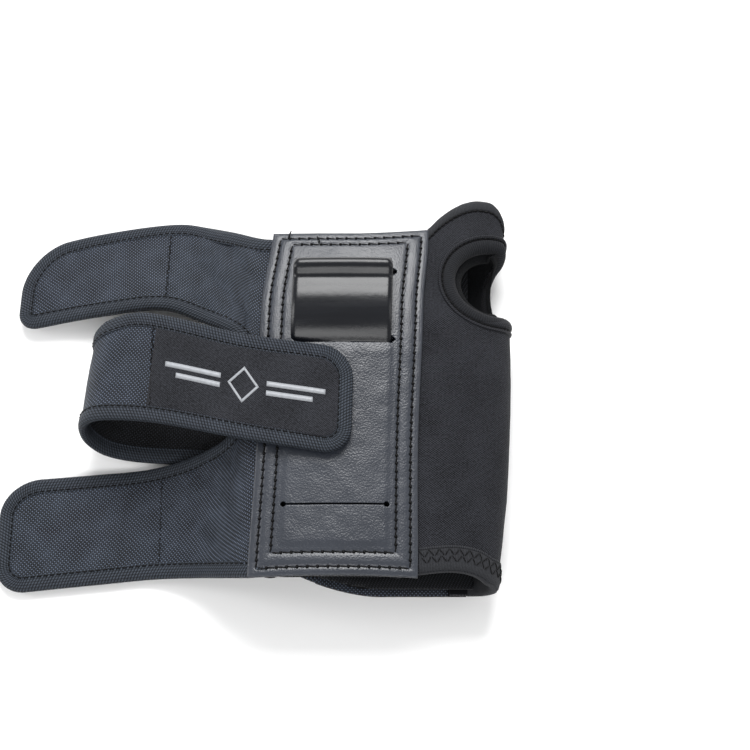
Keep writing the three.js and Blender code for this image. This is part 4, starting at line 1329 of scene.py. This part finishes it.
class GUARD_OT_sleeve(bpy.types.Operator):
    """Make the foam rubber sleeve with its thumb hole, collar and hem"""

    bl_idname = "guard.sleeve"
    bl_label = "Sleeve"

    def execute(self, context):
        outline = thumb_outline()
        sleeve = self.skin(outline)
        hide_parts("sleeve_palm_half", "sleeve_back_half")
        thumb = self.thumb_edge(outline)
        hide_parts("thumb_hole_tape_palm", "thumb_hole_tape_back")
        hem = self.hem()
        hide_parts("sleeve_hem_palm", "sleeve_hem_back")
        collar = self.collar()
        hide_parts("sleeve_collar_palm", "sleeve_collar_back")
        start, end = spot((107, 0, 6)), spot((107, 0, 28))
        for piece in [sleeve, *thumb, *hem, *collar]:
            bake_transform(piece)
            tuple(start)
            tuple(end)
        return {"FINISHED"}

    def skin(self, outline):
        """The sleeve's foam rubber, with the thumb hole cut out of it."""
        columns, rows = 84, 132

        def place(u, v):
            distance = GIRTH_LOW + (GIRTH_HIGH - GIRTH_LOW) * u
            low, high = sleeve_ends(turn_at(distance))
            return distance, low + (high - low) * v, 0

        shape = grid_shape(columns, rows, place, lambda u, v: place(u, v)[:2])
        hole = [face for face in shape.faces if inside(face.calc_center_median(), outline)]
        bmesh.ops.delete(shape, geom=hole, context="FACES")
        for vert in shape.verts:
            if vert.is_boundary:
                near = min(outline, key=lambda p: (p - vert.co).length_squared)
                if (near - vert.co).length < 2.2:
                    vert.co = near
        for vert in shape.verts:
            vert.co = spot(sleeve_skin(vert.co.x, vert.co.y))
        sleeve = object_from(shape, "sleeve_body", finish("stretch"))
        sleeve.data.materials.append(finish("lining"))
        thicken(sleeve, NEOPRENE, -1.0)
        sleeve.modifiers["Thickness"].material_offset = 1
        return sleeve

    def thumb_edge(self, outline):
        """A bound edge: a piped ridge, a seam, and a padded band that rolls down into the hole."""
        places = [sleeve_skin(p.x, p.y) for p in outline]
        ups = [sleeve_normal(p.x, p.y) for p in outline]
        count = len(places)

        def even(vectors, reach):
            """Each vector as the mean of its neighbours within reach."""
            near = range(-reach, reach + 1)
            rows = [sum((vectors[(i + k) % count] for k in near), Vector()) for i in range(count)]
            return [row / len(near) for row in rows]

        places, ups = even(places, 2), [up.normalized() for up in even(ups, 7)]
        runs = [(places[(i + 2) % count] - places[i - 2]).normalized() for i in range(count)]
        across = [up.cross(run) for up, run in zip(ups, runs)]
        inwards = [inward.normalized() for inward in even(across, 4)]
        frames = [Frame(*parts) for parts in zip(places, ups, inwards)]
        widths = [1 - 0.45 * step(-8, 8, p.x) for p in outline]
        band = [
            (0.1, -2.9), (-0.1, -0.6), (0.3, 0.3), (1.2, 0.75), (2.5, 0.75), (3.8, 0.3), (4.9, -0.7),
            (5.5, -2.2), (5.3, -3.8), (4.4, -4.8), (3.2, -4.6), (1.6, -3.7), (0.1, -2.9),
        ]
        binding = sweep("thumb_hole_band", frames, band, finish("rolled"), closed=True, widths=widths)
        bead = ring(0.75, 8, -1.3, 0.2)
        piping = sweep("thumb_hole_piping", frames, bead, finish("black_tape"), closed=True)
        fleece = [
            (3.4, -4.2), (5.6, -4.0), (7.8, -5.4), (8.4, -6.8), (6.4, -6.6), (4.4, -5.4), (3.4, -4.2),
        ]
        edge = sweep("thumb_hole_fleece", frames, fleece, finish("lining"), closed=True, widths=widths)
        # The tape covers only the foot of the hole, and grows from nothing at one end.
        foot = [i for i, p in enumerate(outline) if p.y < 34 and -22 < p.x < 8]
        tape = [
            (-0.1, -0.5), (0.2, 0.75), (1.2, 1.25), (2.5, 1.25), (3.9, 0.75), (5.2, -0.5),
            (5.4, -2.2), (3.0, -2.6), (-0.1, -0.5),
        ]
        swell = [
            math.sin(math.pi * min(k / len(foot) * 1.4, 1) / 2) * widths[i] for k, i in enumerate(foot)
        ]
        run = [frames[i] for i in foot]
        patch = sweep("thumb_hole_tape", run, tape, finish("black_tape"), widths=swell)
        line = shifted([*frames, frames[0]], -0.25, 0.15)
        seam = stitches("thumb_hole_seam", line, 2.3, 2.1, 0.6, finish("thread"))
        return [binding, piping, edge, patch, seam]

    def end_place(self, end, share, inset, lift):
        """A place near one end of the sleeve.

        share is how far round it lies, inset how far from the end, and lift how far off the face.
        """
        first, last = distance_at(-0.872), distance_at(0.85)
        distance = first + (last - first) * share
        y = sleeve_ends(turn_at(distance))[end] + inset * (-1 if end else 1)
        return sleeve_skin(distance, y, lift), sleeve_normal(distance, y)

    def end_frames(self, end, inset, lift, steps=220):
        spots = [self.end_place(end, i / steps, inset, lift) for i in range(steps + 1)]
        return edge_frames([at for at, _ in spots], [up for _, up in spots], -1 if end else 1)

    def end_band(self, name, end, profile):
        """A band folded over one end of the sleeve. Its profile is pairs of inset and lift."""
        columns, rows = 200, len(profile) - 1

        def place(u, v):
            return spot(self.end_place(end, u, *profile[round(v * rows)])[0])

        around, over = 95, 24  # the band's size in its UV map
        shape = grid_shape(columns, rows, place, lambda u, v: (u * around, v * over))
        close(shape)
        return object_from(shape, name, finish("edging"))

    def collar(self):
        """The band round the finger end, with its seam."""
        profile = [
            (5.1, -0.5), (5.0, 0.35), (4.4, 0.8), (3.2, 1.05), (1.8, 1.0), (0.6, 0.6), (-0.3, -0.3),
            (-0.6, -1.45), (-0.3, -2.7), (0.8, -3.5), (3.0, -3.9), (4.9, -3.6), (5.1, -0.5),
        ]
        band = self.end_band("sleeve_collar", 1, profile)
        line = self.end_frames(1, 5.45, 0.12)
        return [band, stitches("sleeve_collar_seam", line, 2.4, 2.2, 0.85, finish("thread"))]

    def hem(self):
        """The band round the forearm end, with two rows of cover stitching and a ridge."""
        profile = [
            (9.4, -0.5), (9.2, 0.3), (8.2, 0.55), (5.0, 0.75), (2.4, 0.8), (0.8, 0.5), (-0.2, -0.3),
            (-0.5, -1.45), (-0.2, -2.7), (0.8, -3.4), (5.0, -3.8), (9.2, -3.5), (9.4, -0.5),
        ]
        band = self.end_band("sleeve_hem", 0, profile)
        covers = []
        for k, place in enumerate(((7.4, 0.62), (4.7, 0.74))):
            line = self.end_frames(0, *place)
            name, black = f"sleeve_hem_cover_{k}", finish("thread")
            covers.append(stitches(name, line, 2.0, 1.8, 0.6, black, zigzag=2.6, shift=0.5 * k))
        ridge = sweep("sleeve_hem_ridge", self.end_frames(0, 9.7, 0.1), ring(0.6, 6), finish("edging"))
        return [band, *covers, ridge]


# ---------------------------------------------------------------- back panel and linings


def back_rise(x):
    """How far the back's forearm edge has curved up at x."""
    return BACK_RISE * max(0.0, (52 - x) / 32) ** 1.7


def back_layer(name, left, right, margin, z, thickness, material, roundness=26.0, relief=None):
    """A flat layer of the back, with its middle at z.

    Its finger end has a large round corner at the little-finger side.
    """
    bottom, top = BACK_BOTTOM + margin, BACK_TOP - margin

    def place(u, v):
        y = bottom + (top - bottom) * (1 - (1 - v) ** 1.25)
        y += back_rise(left + (right - left) * u) * (1 - v) ** 6
        over = max(0.0, y - (top - roundness)) / roundness
        start = left + roundness * CORNER_STRETCH * (1 - math.sqrt(max(0.0, 1 - over**2)))
        x = start + (right - start) * u
        return x, y, z + (relief(x, y) if relief else 0.0)

    return sheet(name, 40, 96, place, lambda u, v: place(u, v)[:2], material, thickness)


def palm_layer(name, left, right, bottom, top, depth, thickness, material, corner=6.0):
    """A layer under the patch. depth is the distance of its middle below the patch's face."""

    def place(u, v):
        y = bottom + (top - bottom) * v
        near = min(y - bottom, top - y, corner)
        pull = corner - math.sqrt(max(0.0, corner**2 - (corner - near) ** 2))
        x = palm_centre(y) + left + pull + (right - left - 2 * pull) * u
        return x, y, palm_top(x, y) - depth

    return sheet(name, 40, 110, place, lambda u, v: place(u, v)[:2], material, thickness)


VOXEL, PRESSURE, CLOTH_FRAMES = 1.1, 4.0, 20


def soften(piece, cap):
    """Turns a slab into a pad by cloth simulation.

    Air pressure crowns it, and no point moves further than cap.
    """
    finish_mesh(piece)
    even = piece.modifiers.new("Even mesh", "REMESH")
    even.mode, even.voxel_size = "VOXEL", VOXEL * MM
    finish_mesh(piece)
    rest = [vert.co.copy() for vert in piece.data.vertices]
    cloth = piece.modifiers.new("Cloth", "CLOTH")
    cloth.settings.use_pressure = True
    cloth.settings.uniform_pressure_force = PRESSURE
    cloth.settings.effector_weights.gravity = 0.0
    cloth.settings.quality = 4
    cloth.collision_settings.use_collision = False
    for number in range(1, CLOTH_FRAMES + 1):
        bpy.context.scene.frame_set(number)
    finish_mesh(piece)
    for vert, start in zip(piece.data.vertices, rest):
        moved = vert.co - start
        if moved.length > cap * MM:
            vert.co = start + moved.normalized() * cap * MM
    bpy.context.scene.frame_set(1)
    piece.data.shade_smooth()


class GUARD_OT_back_panel(bpy.types.Operator):
    """Make the back: a loop pile field on a nylon panel, over a splint, foam and a mesh lining"""

    bl_idname = "guard.back_panel"
    bl_label = "Back panel"

    def execute(self, context):
        def pile(x, y):
            return 0.1 * waves((x, y, 0), 5, 6) + 0.08 * waves((x, y, 0), 1.6, 7)

        field = back_layer(
            "back_loop_field", BACK_LEFT, BACK_RIGHT, 0.4, 0.72, 0.9, finish("pile"), relief=pile
        )
        shell = back_layer("back_shell_cloth", 19, 80.5, 0.4, 1.9, 0.8, finish("nylon"), 28)
        foam = back_layer("back_foam", 38, 79, 2, 6.1, 2.2, finish("foam"), 18)
        lining = back_layer("back_lining_cloth", 20, 91, 1.4, 8.9, 2.2, finish("mesh"))
        for piece, node, slot in (
            (field, "back_loop_pile", "loop_pile"),
            (shell, "back_panel_shell", "nylon_cloth"),
            (foam, "back_foam_pad", "foam"),
            (lining, "back_lining", "lining"),
        ):
            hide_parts(node)
        soften(foam, 0.5)
        soften(lining, 0.9)
        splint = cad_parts["back_splint"]
        for held in splint.material_slots:
            held.material = finish("splint")
        trims = self.selvedges()
        ride_all([field, shell, foam, lining, *trims], "back_half")
        return {"FINISHED"}

    def selvedges(self):
        """Flat woven edges of the loop tape, their stitches, and the bound outer edge of the shell."""
        trims = []
        sizes = bpy.context.scene.guard_sizes
        thread = sizes.strap_thread / MM
        bottom, top = BACK_BOTTOM + 0.6, BACK_TOP - 0.6
        count = 120

        def run(left, roundness, z):
            """The rounded little-finger edge at left, from the forearm end."""
            low = bottom + back_rise(left)
            places = [Vector((left, y, z)) for y in (low, low / 2, 0, top / 2, top - roundness)]
            for i in range(1, 15):
                turn = i / 14 * math.pi / 2
                x = left + roundness * CORNER_STRETCH * (1 - math.cos(turn))
                places.append(Vector((x, top - roundness + roundness * math.sin(turn), z)))
            return respace(places, count)

        left = run(BACK_LEFT, 26, 0.25)
        right = respace([Vector((BACK_RIGHT, y, 0.25)) for y in (bottom, 0, top)], count)
        flat = [(0, 0), (2.6, 0), (2.7, 0.12), (2.4, 0.22), (0.2, 0.22), (0, 0.1), (0, 0)]
        for name, line, side in (("left", left, 1), ("right", right, -1)):
            frames = edge_frames(line, [-UP] * count, side)
            trims.append(sweep(f"back_loop_selvedge_{name}", frames, flat, finish("black_tape")))
            row = shifted(frames, 1.5, 0.2)
            trims.append(stitches(f"back_loop_seam_{name}", row, 3.2, 2.4, thread, finish("thread")))
        frames = edge_frames(run(19, 28, 1.9), [-UP] * count, 1)
        section = [
            (5.0, 0.45), (5.0, 0.9), (4.5, 1.1), (2.0, 1.2), (0.6, 0.9), (0.0, 0.0),
            (0.6, -0.9), (2.0, -1.2), (4.5, -1.1), (5.0, -0.9), (5.0, -0.45), (5.0, 0.45),
        ]
        trims.append(sweep("back_edge_binding", frames, section, finish("black_tape")))
        row = shifted(frames, 4.0, 1.05)
        trims.append(stitches("back_edge_seam", row, 2.7, 2.0, thread, finish("thread")))
        return trims


class GUARD_OT_palm_pocket(bpy.types.Operator):
    """Make the pocket under the patch: its backing, foam and mesh lining"""

    bl_idname = "guard.palm_pocket"
    bl_label = "Palm pocket"

    def execute(self, context):
        backing = palm_layer("palm_backing", -31, 24.5, -83, 63, 4.05, 0.7, finish("nylon"), corner=3)
        foam = palm_layer("palm_foam", -30, 30, -82, 62, 5.95, 2.2, finish("foam"), corner=8)
        lining = palm_layer("palm_lining_cloth", -32, 32, -84.2, 63.6, 8.7, 2.2, finish("mesh"))
        for piece, node, slot in (
            (backing, "palm_pocket_backing", "lining"),
            (foam, "palm_foam_pad", "foam"),
            (lining, "palm_lining", "lining"),
        ):
            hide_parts(node)
        soften(foam, 0.5)
        soften(lining, 0.9)
        ride_all([backing, foam, lining], "palm_half")
        return {"FINISHED"}


OPERATORS = [
    GUARD_OT_stage,
    GUARD_OT_palm_patch,
    GUARD_OT_palm_plate,
    GUARD_OT_outer_straps,
    GUARD_OT_middle_strap,
    GUARD_OT_sleeve,
    GUARD_OT_back_panel,
    GUARD_OT_palm_pocket,
]


class GUARD_PT_panel(bpy.types.Panel):
    """Lists the pieces of the guard"""

    bl_label = "Wrist guard"
    bl_idname = "GUARD_PT_panel"
    bl_space_type = "VIEW_3D"
    bl_region_type = "UI"
    bl_category = "Wrist guard"

    def draw(self, context):
        for operator in OPERATORS:
            self.layout.operator(operator.bl_idname)
        for group in (context.scene.guard_colours, context.scene.guard_sizes):
            for key in group.__annotations__:
                self.layout.prop(group, key)


CLASSES = [GuardColours, GuardSizes, *OPERATORS, GUARD_PT_panel]


def register():
    for cls in CLASSES:
        bpy.utils.register_class(cls)
    bpy.types.Scene.guard_colours = bpy.props.PointerProperty(type=GuardColours)
    bpy.types.Scene.guard_sizes = bpy.props.PointerProperty(type=GuardSizes)


def unregister():
    del bpy.types.Scene.guard_colours
    del bpy.types.Scene.guard_sizes
    for cls in reversed(CLASSES):
        bpy.utils.unregister_class(cls)


def main():
    register()
    for operator in OPERATORS:
        group, name = operator.bl_idname.split(".")
        getattr(getattr(bpy.ops, group), name)()


if __name__ == "__main__":
    main()
